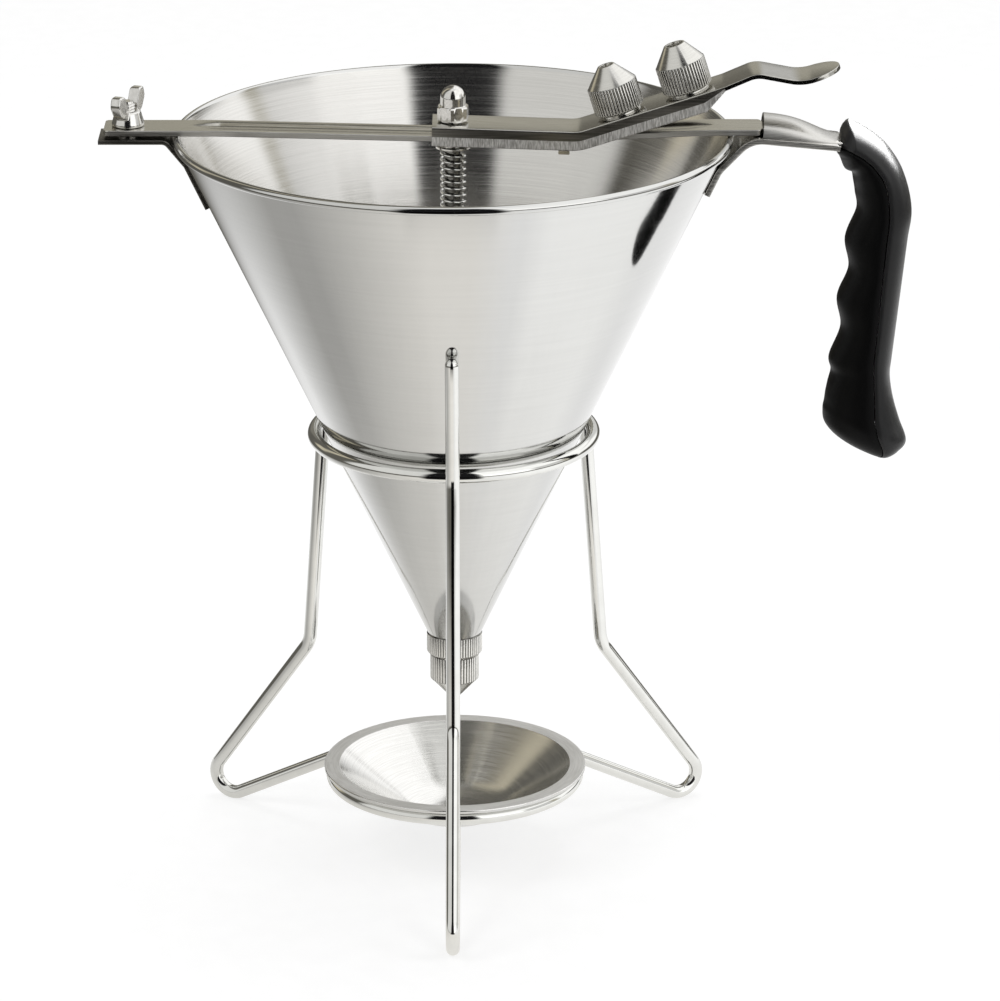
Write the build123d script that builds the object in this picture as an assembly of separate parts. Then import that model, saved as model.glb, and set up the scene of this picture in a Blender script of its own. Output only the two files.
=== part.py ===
from build123d import *
import os
from math import acos, atan, cos, degrees, pi, radians, sin, tan

# Confectionery funnel on its wire stand, in millimetres
# The worktop is Z 0, the funnel axis is the Z axis, the grip points to +X and one leg to -Y

# Funnel cone
rim_diameter = 190.0  # over the rolled edge
rim_bead = 3.0  # thickness of the rolled edge
rim_height = 260.5  # worktop to the middle of the rolled edge
foot_height = 82.0  # worktop to the foot of the cone
foot_diameter = 19.0  # outside of the cone at its foot
cone_wall = 1.0

# Outlet collar with its valve seat and nozzle spigot
collar_diameter = 19.4
collar_height = 7.5
spigot_diameter = 12.0
spigot_length = 6.5
outlet_bore = 8.0
seat_depth = 5.0
knurl_depth = 0.3
knurl_chamfer = 0.5
collar_teeth = 60

# Nozzles
nozzle_diameter = 17.1
nozzle_grip = 9.4  # height of the knurled band
nozzle_taper = 6.4  # height of the cone above the band
nozzle_socket = 7.2  # depth of the threaded socket
nozzle_teeth = 48
nozzle_gap = 0.4  # left between a nozzle and what it screws up to
thread_clearance = 0.08
small_tip, small_bore = 4.6, 2.5
medium_tip, medium_bore = 5.8, 4.0
large_tip, large_bore = 7.2, 5.5

# Cross bar
bar_width = 14.8
bar_thickness = 2.0
bar_lift = 0.2  # rim to bar
bar_overhang = 8.0  # bar end beyond the clamp stud
stud_reach = 15.0  # rim to the clamp stud
tongue_reach = 6.0  # rim to the shoulder of the tongue
tongue_width = 10.0
tongue_length = 8.0
groove_width = 8.0
groove_depth = 1.0
groove_wall = 1.0
groove_margin = 9.0  # groove end to the rim
bar_dip = 2.6  # how far the bar is bent down in the middle
bar_rise = 0.3  # how far it comes up again towards the tongue
dip_start = 80.0  # axis to where the dip starts, on the left
dip_reach = 25.0  # axis to the lowest point
dip_end = 85.0  # axis to where the dip ends, on the right
bar_bend = 300.0

# Clamp on the left of the cone
bracket_width = 16.4
bracket_sheet = 1.5
bracket_overhang = 9.8  # tab end beyond the clamp stud
bracket_tab = 13.0  # stud to the first bend of the tab
bracket_top = 8.5  # rim to the second bend
bracket_drop = 23.5  # rim to the lower end
bracket_bend = 3.0
stud_diameter = 5.0
stud_top = 10.0  # above the bar
stud_collar = 9.0
stud_collar_height = 1.2
stud_chamfer = 0.6
stud_hole_clearance = 0.3

# Wing nut
hub_diameter = 11.0
hub_top_diameter = 9.0
hub_height = 6.5
nut_gap = 0.1  # bar to wing nut
wing_span = 21.6
wing_height = 11.6
wing_thickness = 2.6
wing_shoulder = 3.2  # tip of a wing down to its widest place
wing_crown = 3.4  # length of the flat top of a wing
wing_crown_inset = 1.1  # widest place of a wing to its flat top
wing_belly, wing_belly_height = 8.0, 4.4  # lower bend of a wing
wing_root_low, wing_root_high = 2.0, 5.5  # where a wing leaves the hub
wing_corner = 1.4
wing_turn = 70.0  # angle of the wings from the bar

# Handle strap and the hood that takes the tongue
strap_width = 20.0
strap_thickness = 2.0
strap_drop = 20.5  # rim to the welded end
strap_leave = 10.0  # rim to where the strap leaves the cone
strap_corner = 5.5  # rim edge to the corner over the rim
strap_fall = 5.4  # slope of the strap towards the grip, degrees
strap_gap = 0.2  # strap to the tongue above it
tang_width = 14.0
tang_length = 88.0
tang_lean = 4.5  # degrees from upright
strap_bend = 10.0
tang_shoulder = 0.7  # how far the shoulder of the tang lies inside the grip
hood_reach = 9.5  # rim edge to the mouth of the hood
hood_length = 27.0
hood_width = 19.0
hood_height = 6.2
hood_sheet = 1.3
hood_waist_width, hood_waist_height = 18.0, 4.5  # half way along
hood_tail_width, hood_tail_height = 14.0, 0.7  # where it runs out on the strap
hood_pocket = 17.0
pocket_end_width, pocket_end_height = 13.4, 2.3

# Grip
elbow_reach = 31.5  # rim edge to the centre of the elbow
elbow_drop = 22.9  # rim to the centre of the elbow
elbow_inside, elbow_outside = 10.5, 29.5  # finger side and spine side from the centre
shoulder_angle, shoulder_inside, shoulder_outside = 23.0, 10.9, 28.2
knuckle_angle, knuckle_inside, knuckle_outside = 45.0, 12.9, 28.3
neck_angle, neck_inside, neck_outside = 64.0, 14.2, 28.6
collar_angle, collar_inside, collar_outside = 76.0, 17.5, 29.3
finger_pitch = 21.0
finger_rise = 3.0  # first groove over the end of the elbow
finger_depth = 1.3
finger_lean = 0.11
spine_lean = 0.105
fingers = 4
grip_half_width = 12.3
pommel_flare = 5.0
pommel_drop, pommel_tilt = 1.0, 6.0  # last groove to the widest section
pommel_inside, pommel_outside, pommel_half_width = 3.7, 29.7, 12.3
heel_drop, heel_tilt = 6.4, 12.0  # last groove to the lower end
heel_inside, heel_outside, heel_half_width = 9.0, 25.7, 8.6
shell_gap = 0.4
tang_clearance = 0.3

# Lever
lever_width = 18.6
lever_sheet = 1.5
lever_depth = 6.6  # overall height of the channel
lever_corner = 2.0
lever_rest = 0.3  # bar to lever, under the bend
lever_tilt = 2.0  # slope of the arm towards the bend, degrees
lever_front = 7.0  # lever end ahead of the rod
fulcrum_reach = 42.0  # rod to the bend that the lever rocks on
lever_slope = 17.7  # slope of the ramp, degrees
ramp_length = 52.0
flange_taper = 8.0
lever_bend = 12.0
crest_run, crest_rise = 12.0, 5.2
dip_run, dip_rise = 26.0, 1.2
tip_run, tip_rise = 39.0, 6.0
paddle_bend = 9.0
slot_width = 7.0
slot_front, slot_back = 4.6, 3.6
keeper_gap = 2.4  # fulcrum to the keeper strip
keeper_width = 3.8
keeper_thickness = 1.3

# Studs for the spare nozzles
first_stud = 15.7  # fulcrum to the stud, along the ramp
second_stud = 39.8
stud_base = 14.0
stud_base_height = 0.8

# Plunger
rod_diameter = 6.0
rod_clearance = 0.08
guide_diameter = 8.6
guide_drop = 2.8  # bar to the end of the rod guide
nut_flats = 10.0
nut_hex = 5.0
nut_height = 12.0
nut_dome = 8.6
nut_slack = 0.5  # lever to acorn nut
nut_turn = 4.0
nut_thread = 8.0
nut_chamfer_rise, nut_chamfer_run = 0.4, 0.7
washer_diameter = 11.8
washer_thickness = 1.0
washer_hole_clearance = 0.3
clip_diameter = 9.6
clip_thickness = 0.9
clip_groove = 4.8
clip_mouth = 3.6
plug_diameter = 14.4
plug_band = 3.2
plug_dome = 3.5
plug_dome_diameter = 9.0
plug_nose = 1.6
seat_clearance = 0.3

# Spring
spring_diameter = 9.0
spring_wire = 1.0
spring_length = 42.0
spring_turns = 16
spring_clearance = 0.05

# Wire stand
wire = 4.8
ring_height = 155.0
ring_clearance = 1.4  # cone to upper ring
weld_sink = 0.5  # how far a leg beds into a ring
prong_height = 200.5  # worktop to the centre of a domed tip
prong_clearance = 0.3
knee_height = 66.8
knee_reach = 59.7
leg_reach = 102.7  # axis to the outside of a foot
leg_bend = 12.0
foot_bend = 7.0

# Drip bowl
bowl_diameter = 92.0
bowl_height = 32.5  # worktop to the top of the flange
bowl_flange = 5.4
bowl_sheet = 1.2
bowl_depth = 19.0
bowl_slope = 36.0
bowl_base_bend = 25.0
bowl_rest = 0.3  # bowl ring to flange
bowl_ring_inset = 0.7  # flange edge to the outside of the bowl ring

# Levels and radii that follow from the sizes above
rim_edge = rim_diameter / 2
rim_radius = (rim_diameter - rim_bead) / 2
cone_lean = (rim_radius - foot_diameter / 2) / (rim_height - foot_height)
cone_tilt = atan(cone_lean)
wall_run = cone_wall / cos(cone_tilt)
bar_bottom = rim_height + rim_bead / 2 + bar_lift
bar_top = bar_bottom + bar_thickness
dip_fall = bar_dip / (dip_start + dip_reach)
dip_climb = (bar_dip + bar_rise) / (dip_end - dip_reach)
rod_dip = dip_fall * dip_start
fulcrum_dip = bar_dip - dip_climb * (fulcrum_reach - dip_reach)
lever_bottom = bar_top - fulcrum_dip + lever_rest
arm_rise = fulcrum_reach * tan(radians(lever_tilt))
nut_bottom = lever_bottom + arm_rise + lever_sheet + nut_slack
guide_bottom = bar_bottom - rod_dip - guide_drop
spring_top = guide_bottom - washer_thickness
spring_bottom = spring_top - spring_length
collar_bottom = foot_height - collar_height
seat_radius = foot_diameter / 2 - wall_run
stud_x = -rim_edge - stud_reach
ring_radius_gap = (wire / 2 + ring_clearance) / cos(cone_tilt)
bowl_ring_height = bowl_height - bowl_sheet - bowl_rest - wire / 2
bowl_ring_radius = bowl_diameter / 2 - bowl_ring_inset - wire / 2
socket_diameter = spigot_diameter + 2 * thread_clearance
elbow = Vector(rim_edge + elbow_reach, rim_height - elbow_drop)
ON_BASE = (Align.CENTER, Align.CENTER, Align.MIN)


def cone_radius(z):
    """Outside radius of the cone at height z"""
    return foot_diameter / 2 + (z - foot_height) * cone_lean


ring_radius = cone_radius(ring_height) + ring_radius_gap


def turned(*points):
    """Solid of revolution about Z from (radius, height) corners"""
    return revolve(Plane.XZ * make_face(Polyline(*points, close=True)), Axis.Z)


def across(path, section):
    """Section set square to the start of a path in the XZ plane, its own X along the width"""
    return Plane(path @ 0, x_dir=(0, 1, 0), z_dir=path % 0) * section


def strip(path, width, thickness):
    """Flat strip bent along a path in the XZ plane"""
    return sweep(across(path, Rectangle(width, thickness)), path=path)


def bent(*points, radius):
    """Path through (x, z) corners with rounded bends"""
    return Plane.XZ * FilletPolyline(*points, radius=radius)


def knurled(diameter, height, teeth):
    """Straight-knurled band standing on Z 0, with chamfered ends"""
    depth = [0, knurl_depth]
    corners = [
        Vector(diameter / 2 - depth[i % 2], 0).rotate(Axis.Z, 180 * i / teeth) for i in range(2 * teeth)
    ]
    blank = Cylinder(diameter / 2, height, align=ON_BASE)
    blank = chamfer(blank.edges().filter_by(GeomType.CIRCLE), knurl_chamfer)
    return extrude(make_face(Polyline(*corners, close=True)), height) & blank


# Funnel


def cone_body():
    """Spun cone with its rolled edge"""
    wall = Polyline(
        (foot_diameter / 2, foot_height),
        (rim_radius, rim_height),
        (rim_radius - wall_run, rim_height),
        (seat_radius, foot_height),
        close=True,
    )
    profile = make_face(wall) + Pos(rim_radius, rim_height) * Circle(rim_bead / 2)
    return revolve(Plane.XZ * profile, Axis.Z)


def outlet_collar():
    """Turned collar under the cone: valve seat inside, spigot for the nozzle below"""
    band = Pos(Z=collar_bottom) * knurled(collar_diameter, collar_height, collar_teeth)
    spigot = Cylinder(spigot_diameter / 2, spigot_length + collar_height / 2, align=ON_BASE)
    seat = turned(
        (0, foot_height),
        (seat_radius, foot_height),
        (outlet_bore / 2, foot_height - seat_depth),
        (outlet_bore / 2, collar_bottom - spigot_length),
        (0, collar_bottom - spigot_length),
    )
    return band + Pos(Z=collar_bottom - spigot_length) * spigot - seat


def nozzle(tip, bore):
    """Screw-on nozzle standing on its open end"""
    grip = knurled(nozzle_diameter, nozzle_grip, nozzle_teeth)
    shoulder = nozzle_diameter / 2 - knurl_chamfer
    height = nozzle_grip + nozzle_taper
    taper = Pos(Z=nozzle_grip) * Cone(shoulder, tip / 2, nozzle_taper, align=ON_BASE)
    passage = turned(
        (0, 0),
        (socket_diameter / 2, 0),
        (socket_diameter / 2, nozzle_socket),
        (bore / 2, nozzle_grip + nozzle_taper / 2),
        (bore / 2, height),
        (0, height),
    )
    return grip + taper - passage


def fitted_nozzle():
    """Nozzle screwed on below the outlet"""
    return Pos(Z=collar_bottom - nozzle_gap) * Rot(X=180) * nozzle(small_tip, small_bore)


# Cross bar and its clamp


def dipped_sheet(bottom, plan):
    """Sheet bent like the bar, level over the rim and dipped in the middle, cut to a plan"""
    middle = bottom + bar_thickness / 2
    path = bent(
        (-2 * rim_edge, middle),
        (-dip_start, middle),
        (dip_reach, middle - bar_dip),
        (dip_end, middle + bar_rise),
        (2 * rim_edge, middle + bar_rise),
        radius=bar_bend,
    )
    cutter = extrude(Pos(Z=bottom - 2 * bar_dip) * plan, 4 * bar_dip + bar_thickness)
    return strip(path, 2 * bar_width, bar_thickness) & cutter


def cross_bar():
    """Bar over the cone with a pressed groove, a stud hole and a tongue for the hood"""
    left = stud_x - bar_overhang
    shoulder = rim_edge + tongue_reach
    plan = Pos(X=(left + shoulder) / 2) * Rectangle(shoulder - left, bar_width)
    plan += Pos(X=shoulder) * Rectangle(2 * tongue_length, tongue_width)
    plan -= Pos(X=stud_x) * Circle(stud_diameter / 2 + stud_hole_clearance)
    length = 2 * (rim_edge - groove_margin)
    bar = dipped_sheet(bar_bottom, plan)
    bar += dipped_sheet(bar_bottom - groove_depth, SlotOverall(length, groove_width))
    bar -= dipped_sheet(bar_top - groove_depth, SlotOverall(length, groove_width - 2 * groove_wall))
    return bar - Pos(Z=bar_bottom) * Cylinder(rod_diameter / 2 + rod_clearance, 8 * bar_thickness)


def rod_guide():
    """Sleeve under the bar that keeps the plunger rod upright"""
    sleeve = Circle(guide_diameter / 2) - Circle(rod_diameter / 2 + rod_clearance)
    return extrude(Pos(Z=guide_bottom) * sleeve, guide_drop) - cross_bar()


def beside_cone(z, thickness):
    """Distance from the axis to the middle of a sheet that lies on the cone"""
    return cone_radius(z) + thickness / 2 / cos(cone_tilt)


def bar_bracket():
    """Bent sheet welded to the cone, its tab level under the end of the bar"""
    tab = bar_bottom - stud_collar_height - bracket_sheet / 2
    top = rim_height - bracket_top
    end = rim_height - bracket_drop
    path = bent(
        (stud_x - bracket_overhang, tab),
        (stud_x + bracket_tab, tab),
        (-beside_cone(top, bracket_sheet), top),
        (-beside_cone(end, bracket_sheet), end),
        radius=bracket_bend,
    )
    return strip(path, bracket_width, bracket_sheet)


def clamp_stud():
    """Stud on the bracket with the collar that the bar is clamped to"""
    base = bar_bottom - stud_collar_height
    collar = Cylinder(stud_collar / 2, stud_collar_height, align=ON_BASE)
    stud = Cylinder(stud_diameter / 2, bar_top + stud_top - base, align=ON_BASE)
    stud = chamfer(stud.edges().sort_by(Axis.Z)[-1], stud_chamfer)
    return Pos(stud_x, 0, base) * (collar + stud)


def wing_nut():
    """Wing nut standing on the bar"""
    bore = stud_diameter / 2 + thread_clearance
    hub = Cone(hub_diameter / 2, hub_top_diameter / 2, hub_height, align=ON_BASE)
    half = wing_span / 2
    outline = FilletPolyline(
        (0, wing_root_low),
        (wing_belly, wing_belly_height),
        (half, wing_height - wing_shoulder),
        (half - wing_crown_inset, wing_height),
        (half - wing_crown_inset - wing_crown, wing_height),
        (0, wing_root_high),
        radius=[wing_thickness, wing_thickness, wing_corner, wing_corner],
    )
    ear = make_face(outline + Line(outline @ 1, outline @ 0))
    wing = extrude(Plane.XZ * ear, wing_thickness / 2, both=True)
    nut = hub + wing + mirror(wing, Plane.YZ) - Cylinder(bore, 4 * wing_height)
    return Pos(stud_x, 0, bar_top + nut_gap) * Rot(Z=wing_turn) * nut


# Handle


def strap_line(x):
    """Height of the middle of the straight part of the strap"""
    start = rim_edge + strap_corner + strap_bend / 2
    middle = bar_bottom - strap_gap - strap_thickness / 2
    return middle - (x - start) * tan(radians(strap_fall))


def elbow_corner():
    """Corner where the strap turns down into the grip, its bend centred on the elbow"""
    middle = (90 - strap_fall - tang_lean) / 2
    half = radians((90 - strap_fall + tang_lean) / 2)
    return elbow + Vector(seam_radius() / cos(half), 0).rotate(Axis.Z, middle)


def seam_radius():
    """Radius of the strap's middle round the elbow of the grip"""
    return (strap_line(elbow.X) - elbow.Y) * cos(radians(strap_fall))


def seam_reach(down):
    """Distance from the elbow's centre line to the tang, some way below the elbow"""
    lean = radians(tang_lean)
    return (seam_radius() - down * sin(lean)) / cos(lean)


def strap_path():
    """Middle line of the strap from its weld on the cone to the end of its tang"""
    low = rim_height - strap_drop
    leave = rim_height - strap_leave
    corner = rim_edge + strap_corner
    turn = elbow_corner()
    return bent(
        (beside_cone(low, strap_thickness), low),
        (beside_cone(leave, strap_thickness), leave),
        (corner, strap_line(corner)),
        turn,
        turn - Vector(0, tang_length).rotate(Axis.Z, -tang_lean),
        radius=[strap_bend, strap_bend, seam_radius()],
    )


def handle_strap():
    """Bent strap welded to the cone, narrowed to a tang inside the grip"""
    band = strip(strap_path(), strap_width, strap_thickness)
    shoulder = elbow.X + seam_radius() * cos(radians(collar_angle)) - tang_shoulder
    side = Box(tang_length, strap_width, 3 * tang_length, align=(Align.MIN, Align.MIN, Align.CENTER))
    side = Pos(shoulder, tang_width / 2, rim_height) * side
    return band - side - mirror(side, Plane.XZ)


def hood_arch(distance, width, height):
    """Half-oval section standing on the strap, some way behind the mouth of the hood"""
    fall = radians(strap_fall)
    mouth = rim_edge + hood_reach
    along = Vector(cos(fall), 0, -sin(fall))
    lift = Vector(sin(fall), 0, cos(fall)) * (strap_thickness / 2)
    origin = Vector(mouth, 0, strap_line(mouth)) + lift + along * distance
    arc = EllipticalCenterArc((0, 0), width / 2, height, arc_size=180)
    return Plane(origin, x_dir=(0, 1, 0), z_dir=along) * make_face(arc + Line(arc @ 1, arc @ 0))


def socket_hood():
    """Formed hood on the strap, open towards the bar"""
    outside = loft([
        hood_arch(0, hood_width, hood_height),
        hood_arch(hood_length / 2, hood_waist_width, hood_waist_height),
        hood_arch(hood_length, hood_tail_width, hood_tail_height),
    ])
    inside = loft([
        hood_arch(-hood_sheet, hood_width - 2 * hood_sheet, hood_height - hood_sheet),
        hood_arch(hood_pocket, pocket_end_width, pocket_end_height),
    ])
    return outside - inside


def half_oval(side, reach, half_width):
    """Half of a grip section, on one side of the tang and slotted for it"""
    face = side * shell_gap / 2
    floor = side * (strap_thickness / 2 + tang_clearance)
    slot = tang_width / 2 + tang_clearance
    seam = Polyline(
        (face, half_width), (face, slot), (floor, slot), (floor, -slot), (face, -slot), (face, -half_width)
    )
    first = 90 if side < 0 else -90
    arcs = [
        EllipticalCenterArc((face, 0), reach - shell_gap / 2, half_width, start_angle=first + turn, arc_size=90)
        for turn in (0, 90)
    ]
    return make_face(seam.edges() + arcs)


def grip_stations():
    """Sections of the grip: point on the tang, way across, finger and spine from the tang, half width"""
    seam = seam_radius()
    for angle, inside, outside in (
        (collar_angle, collar_inside, collar_outside),
        (neck_angle, neck_inside, neck_outside),
        (knuckle_angle, knuckle_inside, knuckle_outside),
        (shoulder_angle, shoulder_inside, shoulder_outside),
    ):
        away = Vector(1, 0).rotate(Axis.Z, angle)
        yield elbow + away * seam, away, seam - inside, outside - seam, grip_half_width
    for half in range(2 * fingers):
        down = finger_pitch * (half + 0.5) / 2 - finger_rise
        seam = seam_reach(down)
        groove = finger_depth if half % 2 == 0 else -finger_depth
        flare = pommel_flare if half == 2 * fingers - 1 else 0
        inside = elbow_inside + groove - finger_depth / 2 - finger_lean * down
        outside = elbow_outside + flare - spine_lean * down
        yield elbow + Vector(seam, -down), Vector(1, 0), seam - inside, outside - seam, grip_half_width
    for drop, tilt, inside, outside, half_width in (
        (pommel_drop, pommel_tilt, pommel_inside, pommel_outside, pommel_half_width),
        (heel_drop, heel_tilt, heel_inside, heel_outside, heel_half_width),
    ):
        down = finger_pitch * fingers - finger_rise + drop
        seam = seam_reach(down)
        away = Vector(1, 0).rotate(Axis.Z, -tilt)
        yield elbow + Vector(seam, -down), away, seam - inside, outside - seam, half_width


def grip_shell(side):
    """Moulded shell on the finger side (-1) or the spine side (1) of the tang"""
    sections = []
    for seam, away, finger, spine, half_width in grip_stations():
        plane = Plane((seam.X, 0, seam.Y), x_dir=(away.X, 0, away.Y), z_dir=(away.Y, 0, -away.X))
        sections.append(plane * half_oval(side, finger if side < 0 else spine, half_width))
    return loft(sections)


# Lever


def ramp_point(distance, height=0.0):
    """Point on the ramp: distance from the fulcrum bend, height over the middle of the sheet"""
    slope = radians(lever_slope)
    x = fulcrum_reach + distance * cos(slope) - height * sin(slope)
    z = lever_bottom + lever_sheet / 2 + distance * sin(slope) + height * cos(slope)
    return x, z


def ramp_plane(distance):
    """Plane on top of the ramp, its Z square to the sheet"""
    slope = radians(lever_slope)
    x, z = ramp_point(distance, lever_sheet / 2)
    return Plane((x, 0, z), x_dir=(cos(slope), 0, sin(slope)), z_dir=(-sin(slope), 0, cos(slope)))


def lever():
    """Pressed channel lever with its rod slot and thumb paddle"""
    middle = lever_bottom + lever_sheet / 2
    start = (-lever_front, middle + (fulcrum_reach + lever_front) * tan(radians(lever_tilt)))
    bend = (fulcrum_reach, middle)
    x, z = ramp_point(ramp_length)
    paddle = [(x + crest_run, z + crest_rise), (x + dip_run, z + dip_rise), (x + tip_run, z + tip_rise)]
    channel_path = bent(start, bend, (x, z), radius=lever_bend)
    outside = Pos(Y=(lever_sheet - lever_depth) / 2) * Rectangle(lever_width, lever_depth)
    outside = fillet(outside.vertices().group_by(Axis.Y)[-1], lever_corner)
    hollow = Pos(Y=-lever_depth / 2) * Rectangle(lever_width - 2 * lever_sheet, lever_depth - lever_sheet)
    channel = sweep(across(channel_path, outside - hollow), path=channel_path)
    corners = channel.edges().filter_by(Axis.Y).group_by(Axis.X)[0].group_by(Axis.Z)[0]
    channel = fillet(corners, lever_corner)
    taper = Polyline(
        ramp_point(ramp_length - flange_taper, -lever_depth),
        ramp_point(ramp_length + 1, -lever_depth),
        ramp_point(ramp_length + 1, -lever_sheet / 2),
        ramp_point(ramp_length, -lever_sheet / 2),
        close=True,
    )
    channel -= extrude(Plane.XZ * make_face(taper), lever_width, both=True)
    ramp_start = ramp_point(ramp_length - flange_taper)
    blade = strip(bent(ramp_start, (x, z), *paddle, radius=paddle_bend), lever_width, lever_sheet)
    tip = paddle[-1][0] - lever_width / 2
    plan = Pos(X=tip / 2) * Rectangle(tip, lever_width) + Pos(X=tip) * Circle(lever_width / 2)
    blade &= extrude(Pos(Z=lever_bottom) * plan, 4 * lever_width)
    slot = Pos((slot_back - slot_front) / 2, 0) * SlotOverall(slot_front + slot_back, slot_width)
    return channel + blade - extrude(Pos(Z=lever_bottom - lever_sheet) * slot, 4 * lever_sheet)


def keeper_strip():
    """Strip across the flanges under the bar, so that the lever can't lift off"""
    strap = Box(keeper_width, lever_width, keeper_thickness, align=(Align.MAX, Align.CENTER, Align.MAX))
    arm = Pos(fulcrum_reach, 0, lever_bottom + lever_sheet / 2) * Rot(Y=lever_tilt)
    return arm * Pos(-keeper_gap, 0, lever_sheet / 2 - lever_depth) * strap


def nozzle_stud():
    """Stud that carries a spare nozzle, standing on Z 0"""
    base = Cylinder(stud_base / 2, stud_base_height, align=ON_BASE)
    return base + Cylinder(spigot_diameter / 2, stud_base_height + spigot_length, align=ON_BASE)


def spare_nozzle(distance, tip, bore):
    """Spare nozzle on its stud"""
    return ramp_plane(distance) * Pos(Z=stud_base_height + nozzle_gap) * nozzle(tip, bore)


# Plunger


def plunger_rod():
    """Rod from the stopper up through the guide, the bar and the lever into the acorn nut"""
    bottom = foot_height - seat_depth + seat_clearance + plug_nose
    rod = Pos(Z=bottom) * Cylinder(rod_diameter / 2, nut_bottom + nut_thread - bottom, align=ON_BASE)
    groove = Circle(rod_diameter) - Circle(clip_groove / 2)
    clip = spring_bottom - washer_thickness - clip_thickness
    return rod - extrude(Pos(Z=clip) * groove, clip_thickness)


def acorn_nut():
    """Domed cap nut on the top of the rod"""
    radius = nut_dome / 2
    hexagon = extrude(RegularPolygon(nut_flats / 2, 6, major_radius=False), nut_hex)
    chamfers = Cylinder(nut_flats / 3 ** 0.5, nut_hex, align=ON_BASE)
    chamfers = chamfer(chamfers.edges().filter_by(GeomType.CIRCLE), nut_chamfer_rise, nut_chamfer_run)
    neck = Cylinder(radius, nut_height - radius, align=ON_BASE)
    dome = Pos(Z=nut_height - radius) * Sphere(radius)
    thread = Cylinder(rod_diameter / 2, nut_thread, align=ON_BASE)
    return Pos(Z=nut_bottom) * Rot(Z=nut_turn) * ((hexagon & chamfers) + neck + dome - thread)


def washer(top, diameter):
    """Flat washer on the rod, its upper face at the given height"""
    ring = Circle(diameter / 2) - Circle(rod_diameter / 2 + washer_hole_clearance)
    return extrude(Pos(Z=top - washer_thickness) * ring, washer_thickness)


def retaining_clip():
    """Open clip in the groove of the rod"""
    ring = Circle(clip_diameter / 2) - Circle(clip_groove / 2)
    ring -= Pos(Y=-clip_diameter / 2) * Rectangle(clip_mouth, clip_diameter)
    return extrude(Pos(Z=spring_bottom - washer_thickness - clip_thickness) * ring, clip_thickness)


def stopper():
    """Plug on the foot of the rod that closes the valve seat"""
    slope = (seat_radius - outlet_bore / 2) / seat_depth
    low = foot_height - seat_depth + seat_clearance
    nose = outlet_bore / 2 - seat_clearance
    band = low + (plug_diameter / 2 - nose) / slope
    top = band + plug_band
    plug = turned(
        (0, low - plug_nose),
        (nose - plug_nose / 2, low - plug_nose),
        (nose, low),
        (plug_diameter / 2, band),
        (plug_diameter / 2, top),
        (plug_dome_diameter / 2, top + plug_dome),
        (0, top + plug_dome),
    )
    return plug - Pos(Z=low + plug_nose) * Cylinder(rod_diameter / 2, top + plug_dome - low, align=ON_BASE)


# Spring


def biarc(start, heading, end, end_heading):
    """Two tangent arcs from a start to an end, each with its heading"""
    chord = end - start
    both = heading + end_heading
    bend = 2 * (1 - heading.dot(end_heading))
    reach = (-chord.dot(both) + (chord.dot(both) ** 2 + bend * chord.dot(chord)) ** 0.5) / bend
    join = (start + end + (heading - end_heading) * reach) * 0.5
    first = TangentArc(start, join, tangent=heading)
    return [first, TangentArc(join, end, tangent=first % 1)]


def spring_path():
    """Middle line of the spring, from the upper washer down"""
    radius = (spring_diameter - spring_wire) / 2
    margin = spring_wire / 2 + 3 * spring_clearance
    pitch = (spring_length - 2 * margin) / spring_turns

    def point(turns):
        return Vector(radius, 0, spring_top - margin - pitch * turns).rotate(Axis.Z, 360 * turns)

    def heading(turns):
        return Vector(0, 2 * pi * radius, -pitch).normalized().rotate(Axis.Z, 360 * turns)

    edges = [Line(point(0) - heading(0) * spring_wire, point(0))]
    for half in range(2 * spring_turns):
        a, b = half / 2, (half + 1) / 2
        edges += biarc(point(a), heading(a), point(b), heading(b))
    edges.append(Line(edges[-1] @ 1, (edges[-1] @ 1) + (edges[-1] % 1) * spring_wire))
    return edges


def spring():
    """Compression spring that presses the stopper onto its seat"""
    edges = spring_path()
    points = [edge @ step for edge in edges for step in (0, 0.25, 0.5, 0.75)]
    near = min(
        (points[a] - points[b]).length for a in range(len(points)) for b in range(a + 10, len(points))
    )
    print("spring gap to itself", round(near - spring_wire, 2))
    path = Wire(edges)
    return sweep(Plane(path @ 0, z_dir=path % 0) * Circle(spring_wire / 2), path=path)


# Wire stand and drip bowl


def wire_ring(radius, height):
    """Closed ring of wire"""
    return Pos(Z=height) * Torus(radius, wire / 2)


def tangent_point(start, centre, side):
    """Where a line from start touches the circle of a foot bend, on one side"""
    outward = start - centre
    swing = degrees(acos(foot_bend / outward.length))
    return centre + outward.normalized().rotate(Axis.Z, side * swing) * foot_bend


def leg():
    """One wire: prong, bend at the upper ring, knee, hairpin foot and return to the bowl ring"""
    tip = Vector(cone_radius(prong_height) + (wire / 2 + prong_clearance) / cos(cone_tilt), prong_height)
    bend = Vector(ring_radius + wire - weld_sink, ring_height)
    knee = Vector(knee_reach, knee_height)
    foot = Vector(leg_reach - wire / 2 - foot_bend, wire / 2 + foot_bend)
    bowl = Vector(bowl_ring_radius, bowl_ring_height)
    heel = tangent_point(knee, foot, -1)
    sole = tangent_point(bowl, foot, 1)
    toe = foot + (heel + sole - foot * 2).normalized() * foot_bend
    weld = bowl + (sole - bowl).normalized() * (wire / 2 - weld_sink)
    line = FilletPolyline(tip, bend, knee, heel, radius=leg_bend)
    line = Plane.XZ * (line + ThreePointArc(heel, toe, sole) + Line(sole, weld))
    path = Wire(line.edges())
    rod = sweep(Plane(path @ 0, z_dir=path % 0) * Circle(wire / 2), path=path)
    rod += Pos(tip.X, 0, tip.Y) * Sphere(wire / 2)
    return rod - wire_ring(ring_radius, ring_height) - wire_ring(bowl_ring_radius, bowl_ring_height)


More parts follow.
